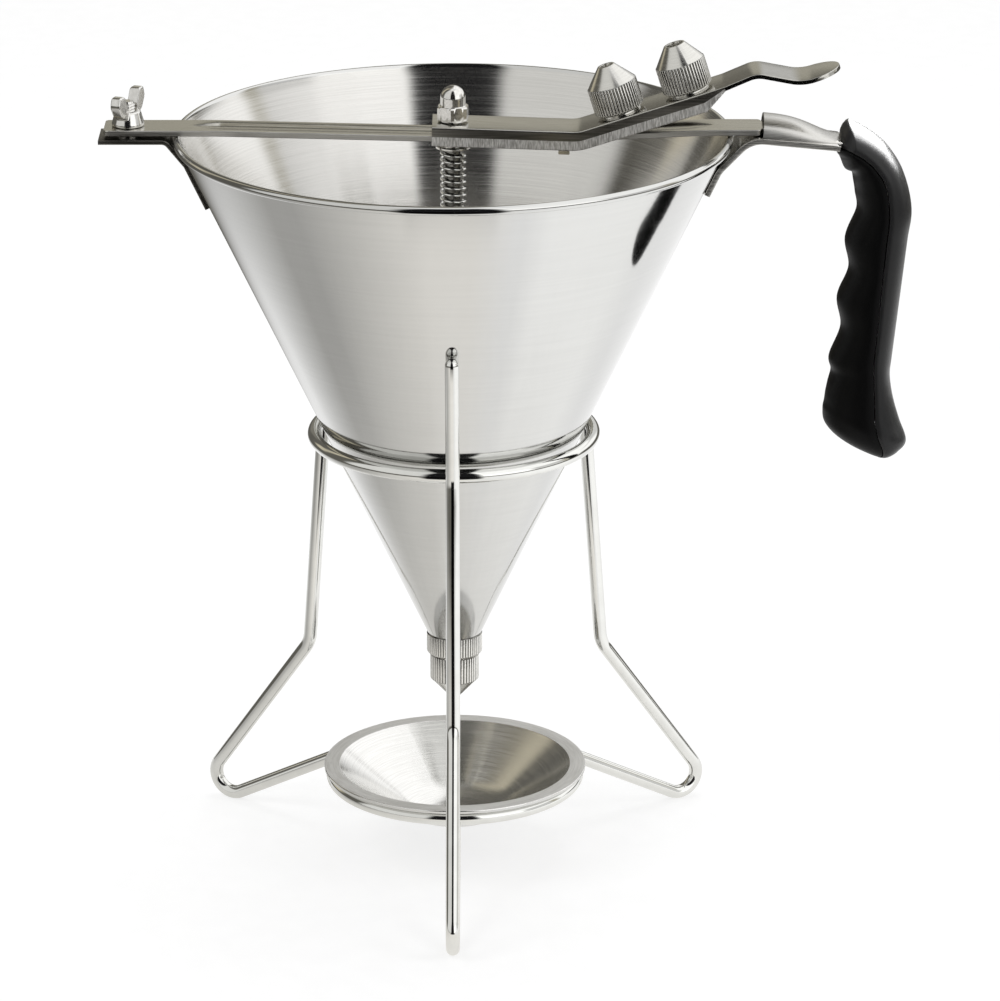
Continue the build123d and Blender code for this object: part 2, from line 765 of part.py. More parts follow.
def drip_bowl():
    """Dished bowl with a flat flange that hangs in the bowl ring"""
    slope = radians(bowl_slope)
    mouth = bowl_diameter / 2 - bowl_flange
    base = bowl_height - bowl_depth
    corner = mouth - bowl_depth / tan(slope)
    run = bowl_sheet * tan(slope / 2)
    inside = FilletPolyline((0, base), (corner, base), (mouth, bowl_height), radius=bowl_base_bend)
    outside = FilletPolyline(
        (0, base - bowl_sheet),
        (corner + run, base - bowl_sheet),
        (mouth + run, bowl_height - bowl_sheet),
        radius=bowl_base_bend + bowl_sheet,
    )
    edge = Polyline(
        inside @ 1,
        (bowl_diameter / 2, bowl_height),
        (bowl_diameter / 2, bowl_height - bowl_sheet),
        outside @ 1,
    )
    profile = make_face(inside + edge + outside + Line(outside @ 0, inside @ 0))
    return revolve(Plane.XZ * profile, Axis.Z)


# Assembly


def assembly():
    """Every piece by name, in its place"""
    parts = {
        "stand_ring": wire_ring(ring_radius, ring_height),
        "bowl_ring": wire_ring(bowl_ring_radius, bowl_ring_height),
        "drip_bowl": drip_bowl(),
        "cone_body": cone_body(),
        "outlet_collar": outlet_collar(),
        "fitted_nozzle": fitted_nozzle(),
        "bar_bracket": bar_bracket(),
        "clamp_stud": clamp_stud(),
        "wing_nut": wing_nut(),
        "cross_bar": cross_bar(),
        "rod_guide": rod_guide(),
        "handle_strap": handle_strap(),
        "socket_hood": socket_hood(),
        "grip_finger_shell": grip_shell(-1),
        "grip_spine_shell": grip_shell(1),
        "lever": lever(),
        "keeper_strip": keeper_strip(),
        "medium_stud": ramp_plane(first_stud) * nozzle_stud(),
        "large_stud": ramp_plane(second_stud) * nozzle_stud(),
        "medium_nozzle": spare_nozzle(first_stud, medium_tip, medium_bore),
        "large_nozzle": spare_nozzle(second_stud, large_tip, large_bore),
        "plunger_rod": plunger_rod(),
        "acorn_nut": acorn_nut(),
        "upper_washer": washer(guide_bottom, washer_diameter),
        "lower_washer": washer(spring_bottom, washer_diameter),
        "retaining_clip": retaining_clip(),
        "stopper": stopper(),
        "spring": spring(),
    }
    one_leg = leg()
    for name, azimuth in (("front", -90), ("right", 30), ("left", 150)):
        parts["leg_" + name] = Rot(Z=azimuth) * one_leg
    return parts


os.makedirs("parts", exist_ok=True)
for name, shape in assembly().items():
    export_step(shape, f"parts/{name}.step")
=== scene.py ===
# %% [markdown]
# # A confectionery funnel in a white studio
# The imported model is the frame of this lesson: it says where each piece is and how it moves.
# Each step below draws one real piece with the detail that a camera sees, and lets it ride on
# the body that carries it. Lengths are written in millimetres, as a workshop drawing has them.

# %% Load the frame
from math import acos, atan, ceil, cos, degrees, exp, pi, radians, sin, sqrt, tan

import bmesh
import bpy
from mathutils import Euler, Matrix, Vector


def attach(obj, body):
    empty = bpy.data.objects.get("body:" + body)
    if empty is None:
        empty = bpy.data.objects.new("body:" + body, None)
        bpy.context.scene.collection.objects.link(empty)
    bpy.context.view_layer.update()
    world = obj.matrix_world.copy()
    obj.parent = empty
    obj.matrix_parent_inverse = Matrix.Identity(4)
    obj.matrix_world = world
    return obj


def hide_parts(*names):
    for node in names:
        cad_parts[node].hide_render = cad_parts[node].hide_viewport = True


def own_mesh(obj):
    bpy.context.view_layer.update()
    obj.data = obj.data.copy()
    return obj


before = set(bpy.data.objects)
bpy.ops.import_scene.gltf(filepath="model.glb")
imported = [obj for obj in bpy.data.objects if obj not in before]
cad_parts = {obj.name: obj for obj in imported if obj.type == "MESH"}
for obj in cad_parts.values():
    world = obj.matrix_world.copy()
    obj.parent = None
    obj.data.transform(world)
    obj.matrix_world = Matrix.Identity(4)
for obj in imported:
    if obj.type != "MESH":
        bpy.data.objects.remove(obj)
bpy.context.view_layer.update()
scene = bpy.context.scene

# %% [markdown]
# ## Camera
# The photograph was taken with a long lens from a little above. A long lens keeps the rings
# nearly parallel, so the place and the focal length are set together rather than by eye.

# %% Camera
IMAGE_HEIGHT, FOCAL_PIXELS = 1001, 5367.9
CAMERA_PLACE, LOOK_DOWN = (0.0159, -1.7603, 0.7343), 18.95

camera = bpy.data.objects.new("camera", bpy.data.cameras.new("camera"))
scene.collection.objects.link(camera)
camera.data.lens = camera.data.sensor_width * FOCAL_PIXELS / IMAGE_HEIGHT
camera.data.clip_start = 0.05
camera.location = CAMERA_PLACE
camera.rotation_euler = Euler((radians(90 - LOOK_DOWN), 0, 0))
scene.camera = camera
scene.view_settings.view_transform = "Standard"
print("lens", round(camera.data.lens, 1))

# %% [markdown]
# ## Small tools for shader nodes
# A finish is a little network of nodes. A few helpers keep it readable: one adds a node and plugs
# numbers or other nodes into it, the others do a sum, a soft step or a blend of two colours.


# %% Node helpers
def plug(tree, kind, inputs=(), **options):
    """Add a node, set its options and fill its inputs with numbers or with sockets"""
    node = tree.nodes.new(kind)
    for option, value in options.items():
        setattr(node, option, value)
    for key, value in dict(inputs).items():
        if isinstance(value, bpy.types.NodeSocket):
            tree.links.new(value, node.inputs[key])
        else:
            node.inputs[key].default_value = value
    return node


def calc(tree, operation, first, second=0.0):
    """One sum between two values"""
    return plug(tree, "ShaderNodeMath", {0: first, 1: second}, operation=operation).outputs[0]


def fade(tree, value, start, end, low=0.0, high=1.0):
    """Smooth step of a value from low to high"""
    inputs = {"Value": value, "From Min": start, "From Max": end, "To Min": low, "To Max": high}
    return plug(tree, "ShaderNodeMapRange", inputs, interpolation_type="SMOOTHSTEP").outputs[0]


def mix_colour(tree, factor, first, second, blend="MIX"):
    """Blend of two colours, each a socket or plain red, green and blue"""
    pair = [shade if isinstance(shade, bpy.types.NodeSocket) else (*shade, 1) for shade in (first, second)]
    inputs = {0: factor, 6: pair[0], 7: pair[1]}
    return plug(tree, "ShaderNodeMix", inputs, data_type="RGBA", blend_type=blend).outputs[2]


def place_on(tree, kind="Object"):
    """Where a point lies on its piece, or which way a ray looks into the room"""
    return plug(tree, "ShaderNodeTexCoord").outputs[kind]


def split(tree, place):
    """The three numbers of a place"""
    return plug(tree, "ShaderNodeSeparateXYZ", {0: place}).outputs


def length(tree, place):
    """Distance of a place from the origin"""
    return plug(tree, "ShaderNodeVectorMath", {0: place}, operation="LENGTH").outputs["Value"]


def ray_kinds(tree):
    """Whether the camera looks, and whether a shiny or a clear surface looks"""
    rays = plug(tree, "ShaderNodeLightPath").outputs
    return rays["Is Camera Ray"], calc(tree, "MAXIMUM", rays["Is Glossy Ray"], rays["Is Transmission Ray"])


# %% [markdown]
# ## White room
# Polished steel shows the room, not itself. The camera sees plain white, and reflections see a
# studio: white and grey flats round the table, a dark gap where the camera stands, and black cards
# that draw the dark edges. Behind the table it is dark above the backdrop and beyond the paper's end.
# A bright canopy hangs over the right side, and the ceiling is white. Diffuse surfaces get one plain
# level, so that colours render as they are written.

# %% World
ROOM_LEVEL = (0.55, 0.55, 0.55)
WHITE, PALE, GREY = (1, 1, 1), (0.72, 0.72, 0.71), (0.82, 0.82, 0.8)
SOFT, BRIGHT = (1.25, 1.25, 1.24), (1.5, 1.5, 1.48)
OLIVE, DULL, SHADE = (0.62, 0.57, 0.44), (0.52, 0.5, 0.425), (0.22, 0.21, 0.18)
CARD, BLACK = (0.13, 0.125, 0.11), (0.012, 0.012, 0.013)
FLATS = (
    (-180, -176, DULL), (-172, -160, SHADE), (-154, -140, CARD), (-134, -124, OLIVE), (-116, -94, CARD),
    (-86, -26, GREY), (-20, 19, BLACK), (24, 60, BRIGHT), (68, 92, PALE), (96, 100, DULL),
    (106, 150, SOFT), (160, 172, PALE), (178, 180, DULL),
)


def flat_shade(tree, x, y, flats):
    """Shade of the flat that stands in a direction; the ramp turns once round the table"""
    turn = calc(tree, "ARCTAN2", x, calc(tree, "MULTIPLY", y, -1.0))
    share = calc(tree, "ADD", calc(tree, "DIVIDE", turn, 2 * pi), 0.5)
    ramp = plug(tree, "ShaderNodeValToRGB", {0: share})
    stops = ramp.color_ramp.elements
    stops.remove(stops[1])
    stops[0].color = (*flats[0][2], 1)
    for start, end, shade in flats:
        stops.new((start + 180) / 360).color = (*shade, 1)
        stops.new((end + 180) / 360).color = (*shade, 1)
    return ramp.outputs[0]


def white_room():
    """Room that is plain white for the camera and a studio for reflections"""
    made = bpy.data.worlds.new("white_room")
    made.use_nodes = True
    made.cycles.sampling_method = "NONE"
    tree = made.node_tree
    x, y, z = split(tree, place_on(tree, "Generated"))
    above_backdrop = calc(tree, "MULTIPLY", fade(tree, y, 0.5, 0.7), fade(tree, z, 0.36, 0.44))
    beyond_paper = calc(tree, "MULTIPLY", fade(tree, y, 0.3, 0.5), fade(tree, z, 0.14, 0.06))
    dark = calc(tree, "MAXIMUM", above_backdrop, beyond_paper)
    studio = mix_colour(tree, dark, flat_shade(tree, x, y, FLATS), CARD)
    canopy = calc(tree, "MULTIPLY", fade(tree, x, 0.03, 0.1), fade(tree, z, 0.36, 0.46))
    right_side = calc(tree, "ADD", x, calc(tree, "MULTIPLY", y, 0.42))
    canopy = calc(tree, "MULTIPLY", canopy, fade(tree, right_side, 0.0, 0.06))
    studio = mix_colour(tree, canopy, studio, SOFT)
    studio = mix_colour(tree, fade(tree, z, 0.93, 0.99), studio, WHITE)
    seen, mirrored = ray_kinds(tree)
    light = mix_colour(tree, seen, mix_colour(tree, mirrored, ROOM_LEVEL, studio), WHITE)
    tree.links.new(light, tree.nodes["Background"].inputs["Color"])
    return made


scene.world = white_room()
print("room flats", len(FLATS))

# %% [markdown]
# ## Floor and softboxes
# The floor is pale paper that still takes the shadow of the object. Part of its brightness is its
# own, so that the shadow stays faint as in the photograph. Only reflections see its painted shade and
# light: dull on the left, bright on the right, black in front where the camera stands, and dark far
# out. The softboxes are not mirrored in the steel. One more lamp lights the spine of the grip alone,
# for its white shine.

# %% Floor
FLOOR_SIZE = 9.0
PAPER_SHARE, PAPER_GLOW = 0.36, 0.72
# Painted shade and light on the floor, seen only in reflections: dull, dark and black patches and brighter
# ones
PAPER_NEAR, PAPER_WARM = (0.98, 0.97, 0.945), (0.97, 0.945, 0.9)
PAPER_DULL, PAPER_DARK = (0.84, 0.825, 0.79), (0.46, 0.455, 0.44)
PAPER_LIT, PAPER_BACK = (1.13, 1.13, 1.12), (1.02, 1.02, 1.02)
PAPER_SIDES = (
    (-180, -138, WHITE), (-96, -80, PAPER_DARK), (-14, 10, PAPER_WARM), (32, 36, WHITE),
    (50, 100, PAPER_LIT), (125, 180, PAPER_BACK),
)
PAPER_FRONT = ((-180, -26, WHITE), (-20, 19, BLACK), (24, 180, WHITE))


def paper():
    """Pale floor that keeps a soft shadow and has painted shade and light for reflections"""
    made = bpy.data.materials.new("paper_floor")
    made.use_nodes = True
    tree = made.node_tree
    tree.nodes.remove(tree.nodes["Principled BSDF"])
    place = place_on(tree)
    x, y, _ = split(tree, place)
    reach = length(tree, place)
    near = mix_colour(tree, fade(tree, x, -0.05, 0.0), PAPER_DULL, PAPER_NEAR)
    shade = mix_colour(tree, fade(tree, reach, 0.02, 0.22), near, flat_shade(tree, x, y, PAPER_SIDES))
    longer_right = calc(tree, "MULTIPLY", fade(tree, x, 0.0, 0.15), 0.3)
    far = fade(tree, calc(tree, "SUBTRACT", reach, longer_right), 0.28, 0.7)
    shade = mix_colour(tree, far, shade, CARD)
    front = fade(tree, reach, 0.19, 0.27)
    shade = mix_colour(tree, front, shade, flat_shade(tree, x, y, PAPER_FRONT), "MULTIPLY")
    seen, mirrored = ray_kinds(tree)
    tint = mix_colour(tree, mirrored, WHITE, shade)
    own_light = calc(tree, "MULTIPLY", calc(tree, "MAXIMUM", seen, mirrored), PAPER_GLOW)
    glow = plug(tree, "ShaderNodeEmission", {"Color": tint, "Strength": own_light})
    fibres = plug(tree, "ShaderNodeTexNoise", {"Scale": 900.0, "Detail": 3.0}).outputs[0]
    tone = fade(tree, fibres, 0.3, 0.7, PAPER_SHARE - 0.01, PAPER_SHARE + 0.01)
    sheet = plug(tree, "ShaderNodeBsdfDiffuse", {"Color": mix_colour(tree, tone, (0, 0, 0), tint)})
    both = plug(tree, "ShaderNodeAddShader", {0: sheet.outputs[0], 1: glow.outputs[0]})
    tree.links.new(both.outputs[0], tree.nodes["Material Output"].inputs["Surface"])
    return made


floor_mesh = bpy.data.meshes.new("floor")
edge = FLOOR_SIZE / 2
floor_corners = [(-edge, -edge, 0), (edge, -edge, 0), (edge, edge, 0), (-edge, edge, 0)]
floor_mesh.from_pydata(floor_corners, [], [(0, 1, 2, 3)])
floor_mesh.materials.append(paper())
floor = bpy.data.objects.new("floor", floor_mesh)
scene.collection.objects.link(floor)
print("floor", FLOOR_SIZE, "m square")

# %% Softboxes
LAMP_AIM = Vector((0, 0, 0.15))


def softbox(name, place, size, power):
    """Rectangular lamp that faces the object and is not mirrored in the steel"""
    lamp = bpy.data.lights.new(name, "AREA")
    lamp.shape = "RECTANGLE"
    lamp.size, lamp.size_y = size
    lamp.energy = power
    holder = bpy.data.objects.new(name, lamp)
    holder.location = place
    holder.rotation_euler = (LAMP_AIM - Vector(place)).to_track_quat("-Z", "Y").to_euler()
    holder.visible_glossy = False
    scene.collection.objects.link(holder)
    return holder


softbox("key_left", (-1.3, -0.7, 1.5), (0.9, 1.2), 9.0)
softbox("fill_right", (1.5, -0.6, 1.1), (0.7, 1.1), 6.0)
softbox("top", (0.2, 0.4, 1.8), (0.9, 0.9), 7.0)
grip_shine = softbox("grip_shine", (0.72, 0.95, 1.3), (1.5, 2.0), 200.0)
grip_shine.visible_glossy, grip_shine.visible_diffuse = True, False

# %% [markdown]
# ## Finishes
# Stainless steel is one colour with many surfaces. What changes is the grain: how rough it is and
# which way the scratches run. A pattern makes the grain by stretching noise along the scratches,
# and one function lets a pattern drive the roughness, the colour and a slight bump of a finish.


# %% Patterns of grain
def noise(tree, coords, detail, scale=1.0):
    """Fine noise in the given coordinates"""
    inputs = {"Vector": coords, "Scale": scale, "Detail": detail}
    return plug(tree, "ShaderNodeTexNoise", inputs).outputs[0]


def ring_noise(across, around, detail):
    """Rings on a turned piece: noise over radius, angle and height"""
    def pattern(tree):
        x, y, z = split(tree, place_on(tree))
        radius = length(tree, plug(tree, "ShaderNodeCombineXYZ", {0: x, 1: y}).outputs[0])
        angle = calc(tree, "ARCTAN2", y, x)
        inputs = {
            0: calc(tree, "MULTIPLY", radius, across),
            1: calc(tree, "MULTIPLY", angle, around),
            2: calc(tree, "MULTIPLY", z, across),
        }
        return noise(tree, plug(tree, "ShaderNodeCombineXYZ", inputs).outputs[0], detail)
    return pattern


def strokes(scale, tilt=0.0):
    """Straight scratches: noise squeezed across them, and tilted about Y"""
    def pattern(tree):
        inputs = {"Vector": place_on(tree), "Rotation": (0, radians(tilt), 0), "Scale": scale}
        return noise(tree, plug(tree, "ShaderNodeMapping", inputs).outputs[0], 5.0)
    return pattern


def clouds(size):
    """Slow noise over the piece, as handling or casting leaves it; size in metres"""
    return lambda tree: noise(tree, place_on(tree), 3.0, 1 / size)


def polish_lines(tree):
    """Faint polishing lines round the cone, broken by handling"""
    lines = calc(tree, "MULTIPLY", ring_noise(900.0, 1.5, 4.0)(tree), 0.5)
    return calc(tree, "ADD", lines, calc(tree, "MULTIPLY", clouds(0.05)(tree), 0.5))


def mould_sparks(tree):
    """Fine spark grain of a mould"""
    return plug(tree, "ShaderNodeTexNoise", {"Scale": 2600.0, "Detail": 2.0}).outputs[0]


def new_finish(name, pattern, tones, rough, bump, metallic=1.0, brushed=0.0, gloss=0.5):
    """Material that follows a pattern; brushed smears reflections across rings round the axis"""
    made = bpy.data.materials.new(name)
    made.use_nodes = True
    tree = made.node_tree
    shader = tree.nodes["Principled BSDF"]
    shader.inputs["Metallic"].default_value = metallic
    shader.inputs["Specular IOR Level"].default_value = gloss
    shader.inputs["Anisotropic"].default_value = brushed
    level = pattern(tree)
    tint = mix_colour(tree, fade(tree, level, 0.3, 0.7), *tones)
    relief = plug(tree, "ShaderNodeBump", {"Height": level, "Strength": bump, "Distance": 0.0001})
    tree.links.new(tint, shader.inputs["Base Color"])
    tree.links.new(fade(tree, level, 0.3, 0.7, *rough), shader.inputs["Roughness"])
    tree.links.new(relief.outputs[0], shader.inputs["Normal"])
    if brushed:
        shader.inputs["Anisotropic Rotation"].default_value = 0.25
        tangent = plug(tree, "ShaderNodeTangent", direction_type="RADIAL", axis="Z")
        tree.links.new(tangent.outputs[0], shader.inputs["Tangent"])
    return made


# %% [markdown]
# ## Spun and turned steel
# The cone is buffed to a mirror outside. Inside it and in the bowl the polishing wheel leaves fine
# rings, and the bowl's flat flange is rubbed to an even satin. The bowl's rings are painted lighter
# than the cone's, as painted light. The lathe leaves finer rings still.

# %% Finishes with rings
RINGS = ring_noise(2600.0, 2.0, 6.0)
MIRROR = new_finish(
    "mirror_steel", polish_lines, ((0.64, 0.64, 0.63), (0.67, 0.67, 0.66)), (0.06, 0.1), 0.004)
CONE_BRUSHED = new_finish(
    "cone_brushed_steel", RINGS, ((0.66, 0.65, 0.63), (0.74, 0.73, 0.71)), (0.15, 0.22), 0.03, brushed=0.97)
# Lighter copy of the cone's brushed steel for the bowl: painted light
LIT_BOWL_BRUSHED = new_finish(
    "lit_bowl_brushed_steel", RINGS, ((0.75, 0.745, 0.73), (0.84, 0.835, 0.82)), (0.13, 0.19), 0.03, brushed=0.97)
SATIN = new_finish(
    "satin_steel", ring_noise(1800.0, 6.0, 5.0), ((0.72, 0.715, 0.7), (0.84, 0.835, 0.82)), (0.32, 0.42),
    0.05, metallic=0.55)
TURNED = new_finish(
    "turned_steel", ring_noise(5200.0, 1.0, 4.0), ((0.64, 0.63, 0.6), (0.74, 0.73, 0.7)), (0.14, 0.2), 0.02,
    brushed=0.85)
print("finishes", MIRROR.name, CONE_BRUSHED.name, LIT_BOWL_BRUSHED.name, SATIN.name, TURNED.name)

# %% [markdown]
# ## Sheet, wire and small steel parts
# Rolled sheet has a long grain along the bar. Its cut edges are duller, and the lever's ground edge
# shows slanting strokes. Wire is drawn and electro-polished, small cast parts are tumbled to a soft
# shine, and a knurl gets a painted highlight on its crests and painted shade in its grooves.

# %% Finishes of sheet, wire and castings
LONG_GRAIN = strokes((60.0, 2600.0, 2600.0))


def rolled_sheet(name, dark, pale, rough):
    """Rolled sheet with a long grain along the bar"""
    return new_finish(name, LONG_GRAIN, (dark, pale), rough, 0.12)


BAR_STEEL = rolled_sheet("bar_steel", (0.48, 0.465, 0.43), (0.62, 0.61, 0.565), (0.14, 0.24))
LEVER_STEEL = rolled_sheet("lever_steel", (0.44, 0.43, 0.4), (0.54, 0.53, 0.5), (0.1, 0.18))
# Lighter copy of the sheet for the hood: painted light
LIT_HOOD_STEEL = rolled_sheet("lit_hood_steel", (0.62, 0.61, 0.585), (0.7, 0.69, 0.665), (0.27, 0.36))
# Dark copy of the sheet: painted shade on the bracket under the bar and on the lever's side walls
SHADED_SHEET = rolled_sheet("shaded_sheet_steel", (0.13, 0.125, 0.11), (0.24, 0.23, 0.21), (0.3, 0.42))
STRAP_STEEL = rolled_sheet("strap_steel", (0.42, 0.41, 0.38), (0.56, 0.55, 0.52), (0.16, 0.3))
CUT = rolled_sheet("cut_edge", (0.36, 0.35, 0.33), (0.56, 0.55, 0.525), (0.34, 0.5))
SHEARED = new_finish(
    "ground_edge", strokes((2400, 900, 420), 35), ((0.42, 0.41, 0.39), (0.86, 0.85, 0.83)), (0.36, 0.55), 0.4,
    metallic=0.6)
WIRE = new_finish(
    "bright_wire", clouds(0.006), ((0.74, 0.74, 0.72), (0.78, 0.78, 0.76)), (0.05, 0.09), 0.004)
# Lighter copy of the turned steel: painted highlight on knurl crests
CREST_HIGHLIGHT = new_finish(
    "knurl_crest_highlight", clouds(0.0008), ((0.74, 0.73, 0.7), (0.88, 0.87, 0.84)), (0.16, 0.26), 0.05)
# Darker copy of the turned steel: painted shade in knurl grooves
GROOVE_SHADE = new_finish(
    "knurl_groove_shade", clouds(0.0008), ((0.34, 0.335, 0.32), (0.45, 0.445, 0.43)), (0.16, 0.26), 0.05)
# Tumbled finish of the small cast parts; also a painted highlight on the strap's flat top
TUMBLED_AND_SHEEN = new_finish(
    "tumbled_steel_and_sheen", clouds(0.0012), ((0.66, 0.65, 0.63), (0.76, 0.75, 0.73)), (0.08, 0.18), 0.06)
# Dark steel: painted shade in the narrow joints of the outlet and on the rod inside the cone
SHADED_STEEL = new_finish(
    "shaded_steel", clouds(0.0012), ((0.2, 0.195, 0.18), (0.28, 0.275, 0.26)), (0.08, 0.18), 0.06)
print("finishes", BAR_STEEL.name, LEVER_STEEL.name, STRAP_STEEL.name, SHEARED.name, WIRE.name)

# %% [markdown]
# ## Plastic and silicone
# The grip is black plastic from a mould, duller on its finger side than on its spine. The spine's
# black is also painted a little lighter, as painted light. The stopper is matt food silicone.


# %% Finishes of plastic and silicone
def moulded_black(name, level, shine, gloss):
    """Black moulded plastic with the fine spark grain of its mould"""
    pale = tuple(value * 1.5 for value in level)
    rough = (shine, shine + 0.12)
    return new_finish(name, mould_sparks, (level, pale), rough, 0.12, metallic=0.0, gloss=gloss)


FINGER_BLACK = moulded_black("finger_black", (0.0025, 0.0025, 0.0026), 0.34, 0.1)
# Painted light: the spine's black is a little lighter than the finger side's
SPINE_BLACK = moulded_black("spine_black", (0.016, 0.016, 0.0165), 0.24, 0.25)
SILICONE = new_finish(
    "food_silicone", clouds(0.003), ((0.7, 0.69, 0.65), (0.82, 0.81, 0.77)), (0.5, 0.65), 0.1, metallic=0.0)
print("finishes", FINGER_BLACK.name, SPINE_BLACK.name, SILICONE.name)

# %% [markdown]
# ## Drawing tools
# Nearly all of this object is turned, bent or drawn, so three tools make most pieces: a lathe that
# turns an outline about an axis, a strip bender that sweeps a section along a bent line, and a
# wire drawer. All of them lay rings of points and skin them with faces.


# %% Lines and outlines
def heading(angle):
    """Way at an angle from level, in the plane of a drawing"""
    return Vector((cos(angle), sin(angle)))


def left_of(way):
    """Way turned a quarter to the left"""
    return Vector((-way.y, way.x))


def rounded(points, radii, step=5.0):
    """Outline through corners, each inner corner turned into an arc"""
    points = [Vector(point) for point in points]
    if not isinstance(radii, (list, tuple)):
        radii = [radii] * (len(points) - 2)
    line = [points[0]]
    for before, corner, after, radius in zip(points, points[1:], points[2:], radii):
        back = (before - corner).normalized()
        ahead = (after - corner).normalized()
        half = acos(max(-1.0, min(1.0, back.dot(ahead)))) / 2
        centre = corner + (back + ahead).normalized() * (radius / sin(half))
        arm = corner + back * (radius / tan(half)) - centre
        sweep = pi - 2 * half if back.cross(ahead) < 0 else 2 * half - pi
        count = max(2, ceil(degrees(abs(sweep)) / step))
        line += [centre + Matrix.Rotation(sweep * part / count, 2) @ arm for part in range(count + 1)]
    line.append(points[-1])
    return line


def ease(corners, edge, step=30.0):
    """Closed outline with all its corners rounded"""
    return rounded([corners[-1]] + corners + [corners[0]], edge, step)[1:-1]


def slab(width, thickness, edge):
    """Section of a sheet with eased edges, centred on its middle"""
    w, t = width / 2, thickness / 2
    return ease([(-w, -t), (w, -t), (w, t), (-w, t)], edge)


def circle(centre, radius, count, start=0.0, sweep=360.0):
    """Points round a circle, or along an arc with both its ends"""
    steps = count if sweep == 360.0 else count - 1
    turns = [radians(start + sweep * i / steps) for i in range(count)]
    return [(centre[0] + radius * cos(a), centre[1] + radius * sin(a)) for a in turns]


def finer(path, spacing):
    """The same line with points added on its long runs"""
    line = [path[0]]
    for point in path[1:]:
        start = line[-1]
        count = max(1, ceil((point - start).length / spacing))
        line += [start.lerp(point, part / count) for part in range(1, count + 1)]
    return line


def way_along(path, i):
    """Way of a line at one of its points"""
    return (path[min(i + 1, len(path) - 1)] - path[max(i - 1, 0)]).normalized()


# %% Skins
def skin(rings, joined=False, mesh=None):
    """Faces between rings of points, in a new mesh or a given one; an open row is closed at its ends"""
    mesh = mesh or bmesh.new()
    rows = [[mesh.verts.new(point) for point in ring] for ring in rings]
    count = len(rows[0])
    pairs = list(zip(rows, rows[1:]))
    if joined:
        pairs.append((rows[-1], rows[0]))
    else:
        mesh.faces.new(rows[0])
        mesh.faces.new(rows[-1])
    for low, high in pairs:
        for i in range(count):
            j = (i + 1) % count
            mesh.faces.new((low[i], low[j], high[j], high[i]))
    return mesh


def lathe(outline, segments=192, shape=None):
    """Closed outline of (radius, height) turned about the axis; shape may change a radius by its angle"""
    rings = []
    for i in range(segments):
        angle = 2 * pi * i / segments
        ring = []
        for radius, height in outline:
            if shape:
                radius = shape(angle, radius, height)
            ring.append((radius * cos(angle), radius * sin(angle), height))
        rings.append(ring)
    mesh = skin(rings, joined=True)
    bmesh.ops.remove_doubles(mesh, verts=mesh.verts, dist=1e-4)
    return mesh


def bend_strip(path, section):
    """Section of (across, above) points swept along a line in the XZ plane; it may depend on the place"""
    rings = []
    for i, point in enumerate(path):
        above = left_of(way_along(path, i))
        spots = [(across, point + above * up) for across, up in section(point.x)]
        rings.append([(spot.x, across, spot.y) for across, spot in spots])
    return skin(rings)


def draw_wire(path, radius, sides=24, dome=False):
    """Round wire along a line in space; dome rounds its first end"""
    rings = []
    turns = [2 * pi * k / sides for k in range(sides)]
    normal = (path[1] - path[0]).orthogonal().normalized()
    for i, point in enumerate(path):
        along = way_along(path, i)
        normal = (normal - along * normal.dot(along)).normalized()
        other = along.cross(normal)
        lifts = (85, 70, 55, 40, 25, 12, 0) if dome and i == 0 else (0,)
        for lift in lifts:
            centre = point - along * (radius * sin(radians(lift)))
            small = radius * cos(radians(lift))
            rings.append([centre + (normal * cos(a) + other * sin(a)) * small for a in turns])
    return skin(rings)


# %% [markdown]
# ## Setting pieces in place
# A mesh is drawn in millimetres, scaled to metres and made a piece: it gets its finish, rides on a
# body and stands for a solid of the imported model. Some faces of a piece get a second finish.


# %% Pieces
def as_object(name, mesh, scale=0.001):
    """Object from a mesh, with its faces looking outward"""
    bmesh.ops.recalc_face_normals(mesh, faces=mesh.faces)
    data = bpy.data.meshes.new(name)
    mesh.to_mesh(data)
    mesh.free()
    data.transform(Matrix.Scale(scale, 4))
    made = bpy.data.objects.new(name, data)
    scene.collection.objects.link(made)
    return made


def piece(name, mesh, finish, body, node, place=None, crease=32):
    """Turn a mesh drawn in millimetres into a piece that rides on a body and stands for a CAD node"""
    made = as_object(name, mesh)
    made.data.shade_smooth()
    made.data.set_sharp_from_angle(angle=radians(crease))
    made.data.materials.append(finish)
    if place:
        made.matrix_world = place
    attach(made, body)
    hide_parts(node)
    print(name, len(made.data.polygons), "faces on", body)
    return made


def finish_faces(made, finish, chosen):
    """Give a second finish to some faces, chosen by the face and its middle in millimetres"""
    made.data.materials.append(finish)
    for face in made.data.polygons:
        if chosen(face, face.center * 1000):
            face.material_index = len(made.data.materials) - 1


def on_the_side(face, spot):
    """Faces that look to the front or to the back: the cut edges of the strap, the side walls of the lever"""
    return abs(face.normal.y) > 0.8


def set_at(x, z, turn, axis):
    """Place in the middle plane, given in millimetres, with a turn about one axis"""
    return Matrix.Translation((0.001 * x, 0, 0.001 * z)) @ Matrix.Rotation(turn, 4, axis)


def drill(made, tool):
    """Cut a tool drawn in millimetres out of a piece"""
    cutter = as_object("tool", tool)
    change = made.modifiers.new("cut", "BOOLEAN")
    change.object = cutter
    change.solver = "EXACT"
    bpy.context.view_layer.update()
    result = bpy.data.meshes.new_from_object(made.evaluated_get(bpy.context.evaluated_depsgraph_get()))
    made.modifiers.clear()
    made.data = result
    bpy.data.objects.remove(cutter)


# %% [markdown]
# ## Wire stand
# Two rings and three legs of one wire, welded together. A ring is a circle turned about the axis.
# A leg is drawn in its own upright plane, from the domed tip that leans on the cone to the hairpin
# foot and back to the bowl ring, and then turned to its place.

